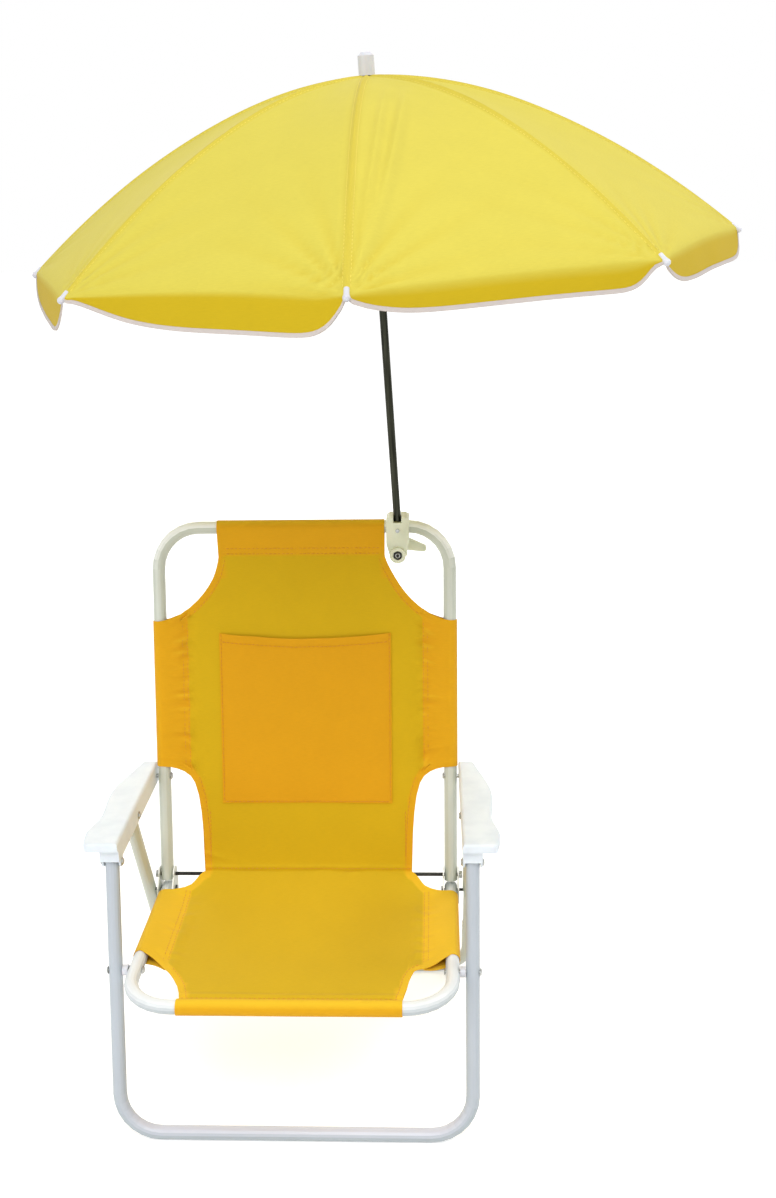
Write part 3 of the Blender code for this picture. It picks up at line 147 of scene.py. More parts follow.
# Camera, as it stood for the photograph, and lamps
CAMERA_PLACE = (0.1456, -1.0188, 0.9876)
CAMERA_YAW = radians(2.3549)
CAMERA_PITCH = radians(21.3725)
CAMERA_ROLL = radians(-1.1346)
CAMERA_LENS = 38.84
LAMPS = (
    ("key", (0.2, -1.4, 2.6), (0.05, 0.1, 0.4), 1.4, 28),
    ("fill", (-1.5, -1.4, 1.0), (0.05, 0.1, 0.4), 1.4, 9),
    ("side", (1.7, 0.5, 2.1), (0.1, 0.2, 0.7), 1.0, 10),
    ("rear", (-0.5, 2.4, 1.1), (0.05, 0.2, 0.4), 1.4, 9),
)
SKY_LOW = 0.32
SKY_HIGH = 0.92
FLOOR_GLOW = 0.45


def linear(colour):
    """An sRGB hex colour as the linear values that Blender's sockets take."""
    channels = [int(colour[k : k + 2], 16) / 255 for k in (1, 3, 5)]
    return (*[c / 12.92 if c <= 0.04045 else ((c + 0.055) / 1.055) ** 2.4 for c in channels], 1)


# Materials


def add(tree, kind, links=None, **settings):
    """Adds a node: settings are its own properties or its inputs' values, links feed its inputs."""
    node = tree.nodes.new(kind)
    for name, value in settings.items():
        if hasattr(node, name):
            setattr(node, name, value)
        else:
            node.inputs[name.replace("_", " ")].default_value = value
    for name, source in (links or {}).items():
        tree.links.new(source, node.inputs[name])
    return node


def finish(name, colour, roughness, metallic=0.0, **sockets):
    """A material with its Principled shader, whose constant values sit on the shader itself."""
    made = bpy.data.materials.new(name)
    made.use_nodes = True
    shader = made.node_tree.nodes["Principled BSDF"]
    shader.inputs["Base Color"].default_value = linear(colour)
    shader.inputs["Roughness"].default_value = roughness
    shader.inputs["Metallic"].default_value = metallic
    for socket, value in sockets.items():
        shader.inputs[socket.replace("_", " ")].default_value = value
    return made, made.node_tree, shader


def plug(tree, shader, **outputs):
    """Links outputs to the shader's inputs of the same names."""
    for name, output in outputs.items():
        tree.links.new(output, shader.inputs[name.replace("_", " ")])


def painted_top_light(tree, low, high):
    """0 to 1 as the surface turns up to the sky: how much of the painted highlight from overhead light it
    takes.
    """
    facing = add(tree, "ShaderNodeNewGeometry")
    upward = add(tree, "ShaderNodeSeparateXYZ", {"Vector": facing.outputs["Normal"]})
    share = add(tree, "ShaderNodeMapRange", {"Value": upward.outputs["Z"]}, From_Min=low, From_Max=high)
    return share.outputs["Result"]


def blended(tree, share, start, end):
    """A colour between two, each of them a constant or another node's output."""
    mix = add(tree, "ShaderNodeMix", {0: share}, data_type="RGBA")
    for socket, colour in ((mix.inputs[6], start), (mix.inputs[7], end)):
        if isinstance(colour, tuple):
            socket.default_value = colour
        else:
            tree.links.new(colour, socket)
    return mix.outputs[2]


def powder_coated_steel(name, colour, top_lit, low=0.0, high=0.85):
    """Powder-coated steel tube: baked resin gives a soft gloss with a faint orange-peel ripple.

    The sides are darker as painted shade, and what faces up is lighter as a painted highlight."""
    made, tree, shader = finish(name, colour, 0.34, Coat_Weight=0.15, Coat_Roughness=0.2)
    place = add(tree, "ShaderNodeTexCoord")
    peel = add(tree, "ShaderNodeTexNoise", {"Vector": place.outputs["Object"]}, Scale=620.0, Detail=1.0)
    bump = add(tree, "ShaderNodeBump", {"Height": peel.outputs["Fac"]}, Strength=0.12, Distance=0.0002)
    handling = add(tree, "ShaderNodeTexNoise", {"Vector": place.outputs["Object"]}, Scale=24.0, Detail=5.0)
    gloss = add(tree, "ShaderNodeMapRange", {"Value": handling.outputs["Fac"]}, To_Min=0.28, To_Max=0.42)
    # Painted light: the darker colour is painted shade on the sides, the lighter one a painted highlight
    # where the tube faces up.
    coat_and_top_light = blended(tree, painted_top_light(tree, low, high), linear(colour), linear(top_lit))
    dust = add(tree, "ShaderNodeMapRange", {"Value": handling.outputs["Fac"]}, To_Min=0.96, To_Max=1.03)
    dust_and_top_light = add(tree, "ShaderNodeHueSaturation", {"Color": coat_and_top_light, "Value": dust.outputs["Result"]})
    plug(tree, shader, Base_Color=dust_and_top_light.outputs["Color"], Roughness=gloss.outputs["Result"])
    plug(tree, shader, Normal=bump.outputs["Normal"])
    return made


def moulded_polypropylene(name, colour, shade, roughness):
    """Injection-moulded polypropylene: a satin skin with the fine grain of its spark-eroded mould."""
    made, tree, shader = finish(name, colour, roughness, Subsurface_Weight=0.04, Subsurface_Scale=0.004)
    place = add(tree, "ShaderNodeTexCoord")
    # The mould's grain is about 0.3 mm; it is drawn at 0.8 mm so that it still shows.
    grain = add(tree, "ShaderNodeTexNoise", {"Vector": place.outputs["Object"]}, Scale=1250.0, Detail=2.0)
    bump = add(tree, "ShaderNodeBump", {"Height": grain.outputs["Fac"]}, Strength=0.18, Distance=0.0002)
    cloud = add(tree, "ShaderNodeTexNoise", {"Vector": place.outputs["Object"]}, Scale=34.0, Detail=4.0)
    tone = add(tree, "ShaderNodeValToRGB", {"Fac": cloud.outputs["Fac"]})
    tone.color_ramp.elements[0].position = 0.34
    tone.color_ramp.elements[0].color = linear(shade)
    tone.color_ramp.elements[1].position = 0.60
    tone.color_ramp.elements[1].color = linear(colour)
    glossy = roughness - 0.06
    rubbed = roughness + 0.1
    wear = add(tree, "ShaderNodeMapRange", {"Value": cloud.outputs["Fac"]}, To_Min=glossy, To_Max=rubbed)
    plug(tree, shader, Base_Color=tone.outputs["Color"], Roughness=wear.outputs["Result"])
    plug(tree, shader, Normal=bump.outputs["Normal"])
    return made


def plated_steel(name, colour, shade, roughness, draw_axis=None):
    """Plated steel: the bare metal's reflections, broken by drawing marks or fine pitting."""
    made, tree, shader = finish(name, colour, roughness, metallic=1.0)
    place = add(tree, "ShaderNodeTexCoord")
    source = place.outputs["Object"]
    if draw_axis:
        stretch = add(tree, "ShaderNodeMapping", {"Vector": source}, Scale=draw_axis)
        source = stretch.outputs["Vector"]
    marks = add(tree, "ShaderNodeTexNoise", {"Vector": source}, Scale=420.0, Detail=3.0)
    tone = add(tree, "ShaderNodeValToRGB", {"Fac": marks.outputs["Fac"]})
    tone.color_ramp.elements[0].position = 0.3
    tone.color_ramp.elements[0].color = linear(shade)
    tone.color_ramp.elements[1].position = 0.65
    tone.color_ramp.elements[1].color = linear(colour)
    glossy = roughness - 0.06
    dull = roughness + 0.12
    rough = add(tree, "ShaderNodeMapRange", {"Value": marks.outputs["Fac"]}, To_Min=glossy, To_Max=dull)
    bump = add(tree, "ShaderNodeBump", {"Height": marks.outputs["Fac"]}, Strength=0.08, Distance=0.0001)
    plug(tree, shader, Base_Color=tone.outputs["Color"], Roughness=rough.outputs["Result"])
    plug(tree, shader, Normal=bump.outputs["Normal"])
    return made


def woven_polyester(name, single, double_and_shade, pitch, roughness, sheen):
    """Plain-woven polyester: matt with a soft sheen. Two layers look deeper in colour than one.

    Each colour is a pair: upright, and lighter where the cloth faces up, a painted highlight. On the canopy
    the two-layer colour is also painted shade, on the valance and in the creases."""
    made, tree, shader = finish(name, single[0], roughness, Sheen_Weight=sheen, Sheen_Roughness=0.5)
    shader.inputs["Specular IOR Level"].default_value = 0.25
    place = add(tree, "ShaderNodeTexCoord")
    layers = add(tree, "ShaderNodeAttribute", attribute_name="layers")
    # A wave of scale s repeats every pi / (10 s) metres. The threads are about 0.4 mm apart and are
    # drawn coarser so that the weave still shows.
    scale = pi / 10 / pitch
    cloth = place.outputs["UV"]
    warp = add(tree, "ShaderNodeTexWave", {"Vector": cloth}, bands_direction="X", Scale=scale)
    weft = add(tree, "ShaderNodeTexWave", {"Vector": cloth}, bands_direction="Y", Scale=scale)
    weave = add(tree, "ShaderNodeMath", {0: warp.outputs["Fac"], 1: weft.outputs["Fac"]}, operation="MAXIMUM")
    bump = add(tree, "ShaderNodeBump", {"Height": weave.outputs["Value"]}, Strength=0.22, Distance=0.0003)
    dye = add(tree, "ShaderNodeTexNoise", {"Vector": cloth}, Scale=26.0, Detail=6.0, Roughness=0.6)
    slub = add(tree, "ShaderNodeMapping", {"Vector": cloth}, Scale=(1.0, 9.0, 1.0))
    threads = add(tree, "ShaderNodeTexNoise", {"Vector": slub.outputs["Vector"]}, Scale=150.0, Detail=2.0)
    # Painted highlight: where the cloth faces up it takes the lighter colour of each pair.
    top_light_share = painted_top_light(tree, 0.45, 0.95)
    one = blended(tree, top_light_share, linear(single[0]), linear(single[1]))
    two = blended(tree, top_light_share, linear(double_and_shade[0]), linear(double_and_shade[1]))
    # The layers attribute picks the second colour: real double layers, and on the canopy also painted shade
    # on the valance and in the creases.
    ply_and_painted_light = blended(tree, layers.outputs["Fac"], one, two)
    tone = add(tree, "ShaderNodeMapRange", {"Value": dye.outputs["Fac"]}, To_Min=0.96, To_Max=1.04)
    grain = add(tree, "ShaderNodeMapRange", {"Value": threads.outputs["Fac"]}, To_Min=0.93, To_Max=1.07)
    levels = {0: tone.outputs["Result"], 1: grain.outputs["Result"]}
    level = add(tree, "ShaderNodeMath", levels, operation="MULTIPLY")
    dyed = add(tree, "ShaderNodeHueSaturation", {"Color": ply_and_painted_light, "Value": level.outputs["Value"]})
    plug(tree, shader, Base_Color=dyed.outputs["Color"], Normal=bump.outputs["Normal"])
    return made


def sewing_thread(name, colour):
    """Spun polyester thread: matt, with the fuzz of its twist."""
    made, tree, shader = finish(name, colour, 0.8, Sheen_Weight=0.2)
    place = add(tree, "ShaderNodeTexCoord")
    twist = add(tree, "ShaderNodeTexNoise", {"Vector": place.outputs["Object"]}, Scale=2400.0)
    bump = add(tree, "ShaderNodeBump", {"Height": twist.outputs["Fac"]}, Strength=0.3, Distance=0.0002)
    plug(tree, shader, Normal=bump.outputs["Normal"])
    return made


# Cloth shapes


def clamped(value):
    return min(1.0, max(0.0, value))


def ridge(distance, width):
    """1 on a ridge's crest, fading out smoothly over its width."""
    return exp(-((distance / width) ** 2))


def shaped(name, shape, material):
    """A finished bmesh as a smooth object in the scene, with its faces turned outward."""
    bmesh.ops.recalc_face_normals(shape, faces=shape.faces)
    mesh = bpy.data.meshes.new(name)
    shape.to_mesh(mesh)
    shape.free()
    obj = bpy.data.objects.new(name, mesh)
    bpy.context.scene.collection.objects.link(obj)
    mesh.materials.append(material)
    mesh.shade_smooth()
    return obj


def circle(shape, centre, side, over, radius, turns):
    """A ring of vertices round a centre, in the plane of two directions."""
    ring = []
    for turn in range(turns):
        angle = 2 * pi * turn / turns
        ring.append(shape.verts.new(centre + (side * cos(angle) + over * sin(angle)) * radius))
    return ring


def band(shape, ring, after):
    """Faces between two rings of vertices."""
    for k in range(len(ring)):
        beside = (k + 1) % len(ring)
        shape.faces.new((ring[k], ring[beside], after[beside], after[k]))


def along(table, x):
    """A value read from a table of (x, value) pairs, straight between them."""
    xs = [row[0] for row in table]
    return float(np.interp(x, xs, [row[1] for row in table]))


def grid_mesh(name, grids, material):
    """One mesh from several grids of (point, uv, layers) rows, welded where they meet."""
    shape = bmesh.new()
    uv_layer = shape.loops.layers.uv.new("UVMap")
    ply_and_painted_light = shape.verts.layers.float.new("layers")
    seen = {}
    uvs = {}

    def vertex(entry):
        point, uv, layers = entry
        key = tuple(round(c * 100000) for c in point)
        if key not in seen:
            seen[key] = shape.verts.new(point)
            seen[key][ply_and_painted_light] = layers
            uvs[seen[key]] = uv
        return seen[key]

    for grid in grids:
        for row, following in zip(grid, grid[1:]):
            for k in range(len(row) - 1):
                corners = [vertex(e) for e in (row[k], row[k + 1], following[k + 1], following[k])]
                if len(set(corners)) == 4:
                    face = shape.faces.new(corners)
                    for loop in face.loops:
                        loop[uv_layer].uv = uvs[loop.vert]
    return shaped(name, shape, material)


def thicken(obj):
    """Gives a sheet the cloth's thickness, half of it to each side."""
    shell = obj.modifiers.new("cloth", "SOLIDIFY")
    shell.thickness = CLOTH
    shell.offset = 0
    bpy.context.view_layer.update()
    graph = bpy.context.evaluated_depsgraph_get()
    mesh = bpy.data.meshes.new_from_object(obj.evaluated_get(graph))
    obj.modifiers.clear()
    obj.data = mesh
    obj.data.shade_smooth()
    obj.data.set_sharp_from_angle(angle=radians(60))


# The cloth's cut edges, as (half width, length up the back or along the seat) pairs
BACK_TOP_EDGE = (
    (TOP_HALF, 0.3560), (0.0921, 0.3515), (0.0940, 0.3460), (0.0966, 0.3395), (0.1000, 0.3325),
    (0.1048, 0.3245), (0.1106, 0.3165), (0.1174, 0.3088), (0.1262, 0.3008), (0.1372, 0.2930),
    (0.1500, 0.2882), (RAIL_X, 0.2866), (1.0, 0.2866),
)
BACK_LOW_EDGE = (
    (WAIST_HALF, 0.0040), (0.1163, 0.0250), (0.1172, 0.0480), (0.1190, 0.0720), (0.1215, 0.0900),
    (0.1255, 0.1045), (0.1310, 0.1135), (0.1400, 0.1200), (0.1500, 0.1232), (RAIL_X, 0.1245), (1.0, 0.1245),
)
SEAT_FRONT_EDGES = {
    -1: (
        (0.1060, -0.0500), (0.1080, -0.0400), (0.1120, -0.0275), (0.1180, -0.0155), (0.1265, -0.0035),
        (0.1345, 0.0060), (0.1424, 0.0135), (0.1530, 0.0210), (RAIL_X, 0.0240), (1.0, 0.0240),
    ),
    1: (
        (0.1105, -0.0500), (0.1125, -0.0400), (0.1145, -0.0270), (0.1165, -0.0130), (0.1204, -0.0010),
        (0.1290, 0.0035), (0.1363, 0.0055), (0.1443, 0.0100), (0.1530, 0.0175), (RAIL_X, 0.0205),
        (1.0, 0.0205),
    ),
}
SEAT_REAR_EDGE = (
    (WAIST_HALF, 0.1657), (0.1190, 0.1645), (0.1225, 0.1615), (0.1265, 0.1570), (0.1310, 0.1530),
    (0.1400, 0.1492), (0.1500, 0.1472), (RAIL_X, 0.1465), (1.0, 0.1465),
)
# The half widths at which the cloth's grids have their columns
INNER_X = [k * 0.0082 for k in range(11)] + [TOP_HALF]
BACK_X = [0.0921, 0.0940, 0.0966, 0.0983, 0.1000, 0.1023, 0.1048, 0.1076, 0.1106, 0.1132]
BACK_X += [WAIST_HALF, 0.1163, 0.1172, 0.1181, 0.1190, 0.1202, 0.1215, 0.1235, 0.1255, 0.1280]
SEAT_X = [0.0950, 0.1005, 0.1060, 0.1080, 0.1105, 0.1120, 0.1135, WAIST_HALF, 0.1175, 0.1205, 0.1235, 0.1270]


def sleeve_path(depth=SLEEVE_DEPTH):
    """From the stitch line over the tube and back: (inward distance from the tube, height, length)."""
    wrap = WRAP_RADIUS
    touch = acos(wrap / depth)
    points = [(depth, 0.0)]
    for share in (0.25, 0.5, 0.75):
        points.append((depth + (wrap * cos(touch) - depth) * share, wrap * sin(touch) * share))
    steps = 14
    for step in range(steps + 1):
        angle = touch + (2 * pi - 2 * touch) * step / steps
        points.append((wrap * cos(angle), wrap * sin(angle)))
    low = -CLOTH * 1.6
    for share in (0.75, 0.5, 0.25, 0.0):
        inward = depth + (wrap * cos(touch) - depth) * share
        points.append((inward, low + (-wrap * sin(touch) - low) * share))
    lengths = [0.0]
    for (a, b), (c, d) in zip(points, points[1:]):
        lengths.append(lengths[-1] + ((a - c) ** 2 + (b - d) ** 2) ** 0.5)
    return [(a, b, length) for (a, b), length in zip(points, lengths)]


def section(columns):
    """A row across the chair: (x, height over the sheet's plane, length from the middle, in a sleeve)."""
    right = [(x, 0.0, x, False) for x in columns]
    for inward, height, length in sleeve_path():
        right.append((RAIL_X - inward, height, STITCH_X + length, True))
    left = [(-x, height, -length, sleeved) for x, height, length, sleeved in reversed(right) if length > 0]
    return left + right


def wrinkle(x, y, seed, size):
    """Smooth noise about -1 to 1 whose lumps are a size across; each seed gives another."""
    return noise.noise(Vector((x / size, y / size, seed)))


def back_height(x, s, sleeved):
    """How far the back cloth stands off its plane: slack, pull lines and puckers along the seams."""
    middle = max(0.0, cos(pi * x / 0.30)) * max(0.0, sin(pi * (s - 0.004) / 0.36))
    slack = -0.0035 * middle + 0.0011 * wrinkle(x, s * 0.6, 2.0, 0.07)
    seam = ridge(abs(x) - STITCH_X - 0.004, 0.009) if 0.12 < s < 0.292 else 0.0
    puckers = 0.0075 * seam * wrinkle(x * 0.30, s, 7.0, 0.0070)
    top = 0.0020 * ridge(s - TOP_STITCH, 0.012) * wrinkle(x, s * 0.3, 9.0, 0.010)
    low = 0.0016 * exp(-(s - CREASE) / 0.03) * wrinkle(x, s * 0.5, 4.0, 0.03)
    tuck = 0.0011 * ridge(s - 0.0085, 0.0022) * (1 + 0.6 * wrinkle(x, 0.0, 5.0, 0.02))
    across = (s - 0.0085) + 0.30 * (x + WAIST_HALF)
    pull = 0.0016 * ridge(across - 0.016, 0.0028) * exp(-(x + WAIST_HALF) / 0.030)
    height = slack + puckers + top + low + tuck + pull
    return height * ridge(abs(x) - STITCH_X, 0.016) if sleeved else height


def seat_height(x, r):
    """How far the seat cloth stands over the rails' plane: it climbs to the crease and sags between."""
    middle = max(0.0, cos(pi * x / 0.27))
    climb = 0.0211 * exp(-(SEAT_REAR_EDGE[0][1] - r) / (0.016 + 0.034 * middle))
    sag = -0.0040 * middle * max(0.0, sin(pi * (r + 0.05) / 0.216))
    slack = 0.0010 * wrinkle(x, r, 15.0, 0.06)
    seam = ridge(abs(x) - STITCH_X, 0.012) if 0.01 < r < 0.15 else 0.0
    puckers = 0.0022 * seam * wrinkle(x * 0.4, r, 17.0, 0.009)
    pull = 0.0016 * ridge(abs(x) - STITCH_X + 0.006, 0.005) * clamped((0.14 - r) / 0.03)
    front = 0.0014 * ridge(r + 0.0440, 0.0035)
    return climb + sag + slack + puckers + pull + front


def near_edge(x, s, tables):
    """1 inside the doubled hem along a cut edge, and 0 away from it."""
    best = 1.0
    for table in tables:
        for (x0, s0), (x1, s1) in zip(table, table[1:]):
            if x0 > RAIL_X:
                continue
            run = Vector((min(x1, RAIL_X) - x0, s1 - s0))
            offset = Vector((abs(x) - x0, s - s0))
            share = clamped(offset.dot(run) / max(run.length_squared, 1e-12))
            best = min(best, (offset - run * share).length)
    return clamped((HEM - best) / 0.0015 + 0.5)


def back_point(x, height, s):
    """The top of the back is cut a little to one side."""
    share = clamped((s - 0.328) / 0.034)
    shift = TOP_SHIFT * share * share * (3 - 2 * share)
    return HINGE + Vector((x + shift, 0, 0)) + LEAN_UP * s + BACK_OUT * height


def seat_point(x, height, r):
    return SEAT_PIVOT + Vector((x, 0, 0)) + RAIL_BACK * r + RAIL_UP * height


def crease_bend(s):
    """How far the cloth still leans out of the back's plane as it leaves the crease."""
    return CREASE_OUT * exp(-(s - CREASE) / 0.02)


def back_grid(rows=150):
    grid = []
    columns = section(INNER_X + BACK_X)
    for row in range(rows + 1):
        line = []
        for x, lift, length, sleeved in columns:
            low = along(BACK_LOW_EDGE, abs(x)) if abs(x) > WAIST_HALF else CREASE
            high = along(BACK_TOP_EDGE, abs(x)) if abs(x) > TOP_HALF else BACK_TOP_EDGE[0][1]
            if sleeved:
                low = along(BACK_LOW_EDGE, max(abs(x), STITCH_X))
                high = along(BACK_TOP_EDGE, max(abs(x), STITCH_X))
            s = low + (high - low) * (row / rows) ** 1.2
            hem = near_edge(x, s, (BACK_TOP_EDGE, BACK_LOW_EDGE))
            loose = 1.0 + (0.30 * max(0.0, wrinkle(x * 0.4, s, 11.0, 0.012)) if sleeved else 0.0)
            relief = back_height(x, s, sleeved) if row or abs(x) > WAIST_HALF else 0.0
            height = lift * loose + crease_bend(s) + relief
            line.append((back_point(x, height, s), (length, s), 1.0 if sleeved else hem))
        grid.append(line)
    return grid


def top_sleeve_grid():
    """The sleeve round the top bar, from the panel's top edge over the bar and down behind it."""
    xs = [x for x, _, _, sleeved in section(INNER_X) if not sleeved]
    depth = BACK_LENGTH - TOP_STITCH
    path = [(BACK_TOP_EDGE[0][1], 0.0, 0.0)]
    for inward, height, length in sleeve_path(depth=depth):
        path.append((BACK_LENGTH - inward, height, TOP_STITCH - BACK_TOP_EDGE[0][1] + length))
    grid = []
    for s, lift, length in path:
        line = []
        for x in xs:
            point = back_point(x, lift + back_height(x, s, False), s)
            line.append((point, (x, BACK_TOP_EDGE[0][1] + length), 1.0 if length > 0.003 else 0.0))
        grid.append(line)
    return grid


def seat_grid(rows=100):
    grid = []
    columns = section(INNER_X + SEAT_X)
    for row in range(rows + 1):
        line = []
        for x, lift, length, sleeved in columns:
            edge = SEAT_FRONT_EDGES[-1 if x < 0 else 1]
            reach = max(abs(x), STITCH_X) if sleeved else abs(x)
            rear = along(SEAT_REAR_EDGE, reach) if reach > WAIST_HALF else SEAT_REAR_EDGE[0][1]
            front = along(edge, reach) if reach > edge[0][0] else edge[0][1]
            r = rear + (front - rear) * row / rows
            hem = near_edge(x, r, (edge, SEAT_REAR_EDGE))
            flat = seat_height(x, r) * (ridge(reach - STITCH_X, 0.02) if sleeved else 1.0)
            point = seat_point(x, lift + flat, r)
            if row == 0 and reach <= WAIST_HALF + 1e-9:
                point = back_point(x, CREASE_OUT, CREASE)
            line.append((point, (length, SEAT_CLOTH_START + r), 1.0 if sleeved else hem))
        grid.append(line)
    return grid


def front_sleeve_grid():
    """The sleeve round the seat's front bar, from the seat panel over the bar and back beneath it."""
    left = -SEAT_FRONT_EDGES[-1][0][0] - 1e-9
    right = SEAT_FRONT_EDGES[1][0][0] + 1e-9
    xs = [x for x, _, _, sleeved in section(INNER_X + SEAT_X) if not sleeved and left <= x <= right]
    start = SEAT_FRONT_EDGES[1][0][1]
    grid = []
    for inward, lift, length in sleeve_path(depth=FRONT_SLEEVE_DEPTH):
        r = -SEAT_FRONT_REACH + inward
        line = []
        for x in xs:
            fade = 1.0 if length < 0.01 else 0.3
            point = seat_point(x, lift + seat_height(x, start) * fade, r)
            along_cloth = SEAT_CLOTH_START + start - length
            line.append((point, (x, along_cloth), 1.0 if length > 0.002 else 0.0))
        grid.append(line)
    return grid


def make_sling(cloth):
    """Seat and back in one length of cloth, with the sleeves that hold it to the tubes."""
    grids = [back_grid(), top_sleeve_grid(), seat_grid(), front_sleeve_grid()]
    sling = grid_mesh("chair_sling", grids, cloth)
    thicken(sling)
    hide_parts("back_sling", "seat_sling")
    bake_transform(sling)


def pocket_top(x):
    share = x / POCKET_HALF
    sag = POCKET_SAG * (1 - share * share)
    return POCKET_HIGH - sag - 0.0016 * wrinkle(x, 0.0, 21.0, 0.035) * (1 - share**8)


def make_pocket(cloth):
    """A patch pocket whose open top stands a little off the back."""
    columns = 56
    rows = 56
    grid = []
    for row in range(rows + 1):
        line = []
        for column in range(columns + 1):
            x = POCKET_HALF * (2 * column / columns - 1)
            s = POCKET_LOW + (pocket_top(x) - POCKET_LOW) * row / rows
            inside = 1 - abs(x / POCKET_HALF) ** 6
            share = (s - POCKET_LOW) / (POCKET_HIGH - POCKET_LOW)
            stand = 0.0011 + 0.0024 * inside * share**2 + 0.0007 * inside * wrinkle(x, s, 23.0, 0.03)
            height = back_height(x, s, False) + crease_bend(s) + stand
            hem = 1.0 if share > 0.945 else 0.55
            line.append((back_point(x, height, s), (x, s), hem))
        grid.append(line)
    pocket = grid_mesh("patch_pocket", [grid], cloth)
    thicken(pocket)
    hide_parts("back_pocket")
    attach(pocket, "back")


# Stitching


def stitches(name, lines, thread, length=0.0034, gap=0.0013, radius=0.00030):
    """Rows of short raised stitches along lines of (point, outward direction) pairs."""
    shape = bmesh.new()
    sides = 5
    for line in lines:
        points = [Vector(point) for point, _ in line]
        normals = [Vector(normal) for _, normal in line]
        run = 0.0
        next_start = gap
        for k in range(len(points) - 1):
            span = (points[k + 1] - points[k]).length
            while next_start + length / 2 < run + span:
                share = (next_start + length / 2 - run) / span
                middle = points[k].lerp(points[k + 1], share) + normals[k] * (CLOTH / 2 + radius * 0.5)
                forward = (points[k + 1] - points[k]).normalized()
                side = forward.cross(normals[k]).normalized()
                rings = []
                for offset in (-0.36, 0.36):
                    centre = middle + forward * length * offset
                    rings.append(circle(shape, centre, side, normals[k], radius, sides))
                tips = []
                for end in (-0.5, 0.5):
                    tips.append(shape.verts.new(middle + forward * length * end - normals[k] * radius))
                for turn in range(sides):
                    after = (turn + 1) % sides
                    shape.faces.new((rings[0][turn], rings[0][after], rings[1][after], rings[1][turn]))
                    shape.faces.new((tips[0], rings[0][after], rings[0][turn]))
                    shape.faces.new((tips[1], rings[1][turn], rings[1][after]))
                next_start += length + gap
            run += span
    return shaped(name, shape, thread)


def back_surface(x, s, extra=0.0):
    return back_point(x, back_height(x, s, False) + crease_bend(s) + extra, s), BACK_OUT


def seat_surface(x, r):
    return seat_point(x, seat_height(x, r), r), RAIL_UP


def edge_run(table, side, inset, surface, stop):
    """A line of stitches a little inside one of the cut edges."""
    line = []
    previous = None
    for share in np.linspace(0, 1, 60):
        x = table[0][0] + (stop - table[0][0]) * share
        y = along(table, x)
        here = Vector((x, y))
        ahead = Vector((x + 0.0005, along(table, x + 0.0005))) - here
        inward = Vector((ahead.y, -ahead.x)).normalized()
        if inward.x > 0:
            inward = -inward
        spot = here + inward * inset
        if previous is None or (spot - previous).length > 0.001:
            line.append(surface(side * spot.x, spot.y))
            previous = spot
    return line


def make_stitching(thread):
    lines = []
    for side in (-1, 1):
        for inset in (0.0, 0.0045):
            x = side * (STITCH_X + inset)
            lift = SLEEVE_SLOPE * inset
            lines.append([back_surface(x, s, lift) for s in np.linspace(0.127, 0.284, 80)])
            line = []
            for r in np.linspace(0.016, 0.145, 70):
                point, out = seat_surface(x, r)
                line.append((point + RAIL_UP * lift, out))
            lines.append(line)
        lines.append(edge_run(BACK_TOP_EDGE, side, HEM_STITCH, back_surface, HEM_STITCH_END))
        lines.append(edge_run(BACK_LOW_EDGE, side, HEM_STITCH, back_surface, HEM_STITCH_END))
        lines.append(edge_run(SEAT_FRONT_EDGES[side], side, HEM_STITCH, seat_surface, HEM_STITCH_END))
        lines.append([back_surface(side * (WAIST_HALF - HEM_STITCH), s) for s in np.linspace(0.02, 0.07, 30)])
    for s in (TOP_STITCH - 0.0005, TOP_STITCH + 0.0055):
        lift = TOP_SLEEVE_SLOPE * max(0.0, s - TOP_STITCH)
        lines.append([back_surface(x, s, lift) for x in np.linspace(-0.088, 0.088, 90)])
    lines.append([seat_surface(x, -0.0488) for x in np.linspace(-0.106, 0.106, 90)])
    lines.append([back_surface(x, 0.0075) for x in np.linspace(-0.112, 0.112, 90)])
    made = stitches("sling_stitching", lines, thread)
    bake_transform(made)
    inset = 0.002
    stand = 0.0017
    up = np.linspace(POCKET_LOW + inset, POCKET_HIGH - inset, 90)
    xs = np.linspace(-POCKET_HALF + inset, POCKET_HALF - inset, 90)
    lines = [[back_surface(side * (POCKET_HALF - inset), s, stand) for s in up] for side in (-1, 1)]
    lines.append([back_surface(x, POCKET_LOW + inset, stand) for x in xs])
    top = []
    for x in xs:
        top.append(back_surface(x, pocket_top(x) - 0.009, 0.0040 - 0.0022 * abs(x / POCKET_HALF) ** 5))
    lines.append(top)
    sewn = stitches("pocket_stitching", lines, thread)
    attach(sewn, "back")


# Umbrella cloth


POLE_AXIS = Vector((tan(SIDE_LEAN), tan(BACK_LEAN), 1)).normalized()
POLE_BASE = Vector((CLAMP_X, TOP_BAR.y - POLE_FORWARD, TOP_BAR.z + NOTCH_HEIGHT))


def umbrella_matrix():
    """The umbrella's frame, up the pole from the clamp's notch."""
    side = Vector((0, 1, 0)).cross(POLE_AXIS).normalized()
    rotation = Matrix((side, POLE_AXIS.cross(side), POLE_AXIS)).transposed().to_4x4()
    return Matrix.Translation(POLE_BASE) @ rotation @ Matrix.Rotation(CANOPY_TURN, 4, "Z")


UMBRELLA = umbrella_matrix()


def scallop(gore, share):
    """How full the hem hangs across one gore, from 0 at its tips."""
    left, left_power = SCALLOPS_LEFT.get(gore % GORES, SCALLOP_LEFT)
    right, right_power = SCALLOPS_RIGHT.get(gore % GORES, SCALLOP_RIGHT)
    return (1 - exp(-((share / left) ** left_power))) * (1 - exp(-(((1 - share) / right) ** right_power)))


def hang_at(gore, across):
    """The length of the hanging edge at a place across a gore."""
    full = VALANCE_DROP * VALANCE_SHARES.get(gore % GORES, 1.0)
    return VALANCE_TIP_DROP + (full - VALANCE_TIP_DROP) * scallop(gore, across)


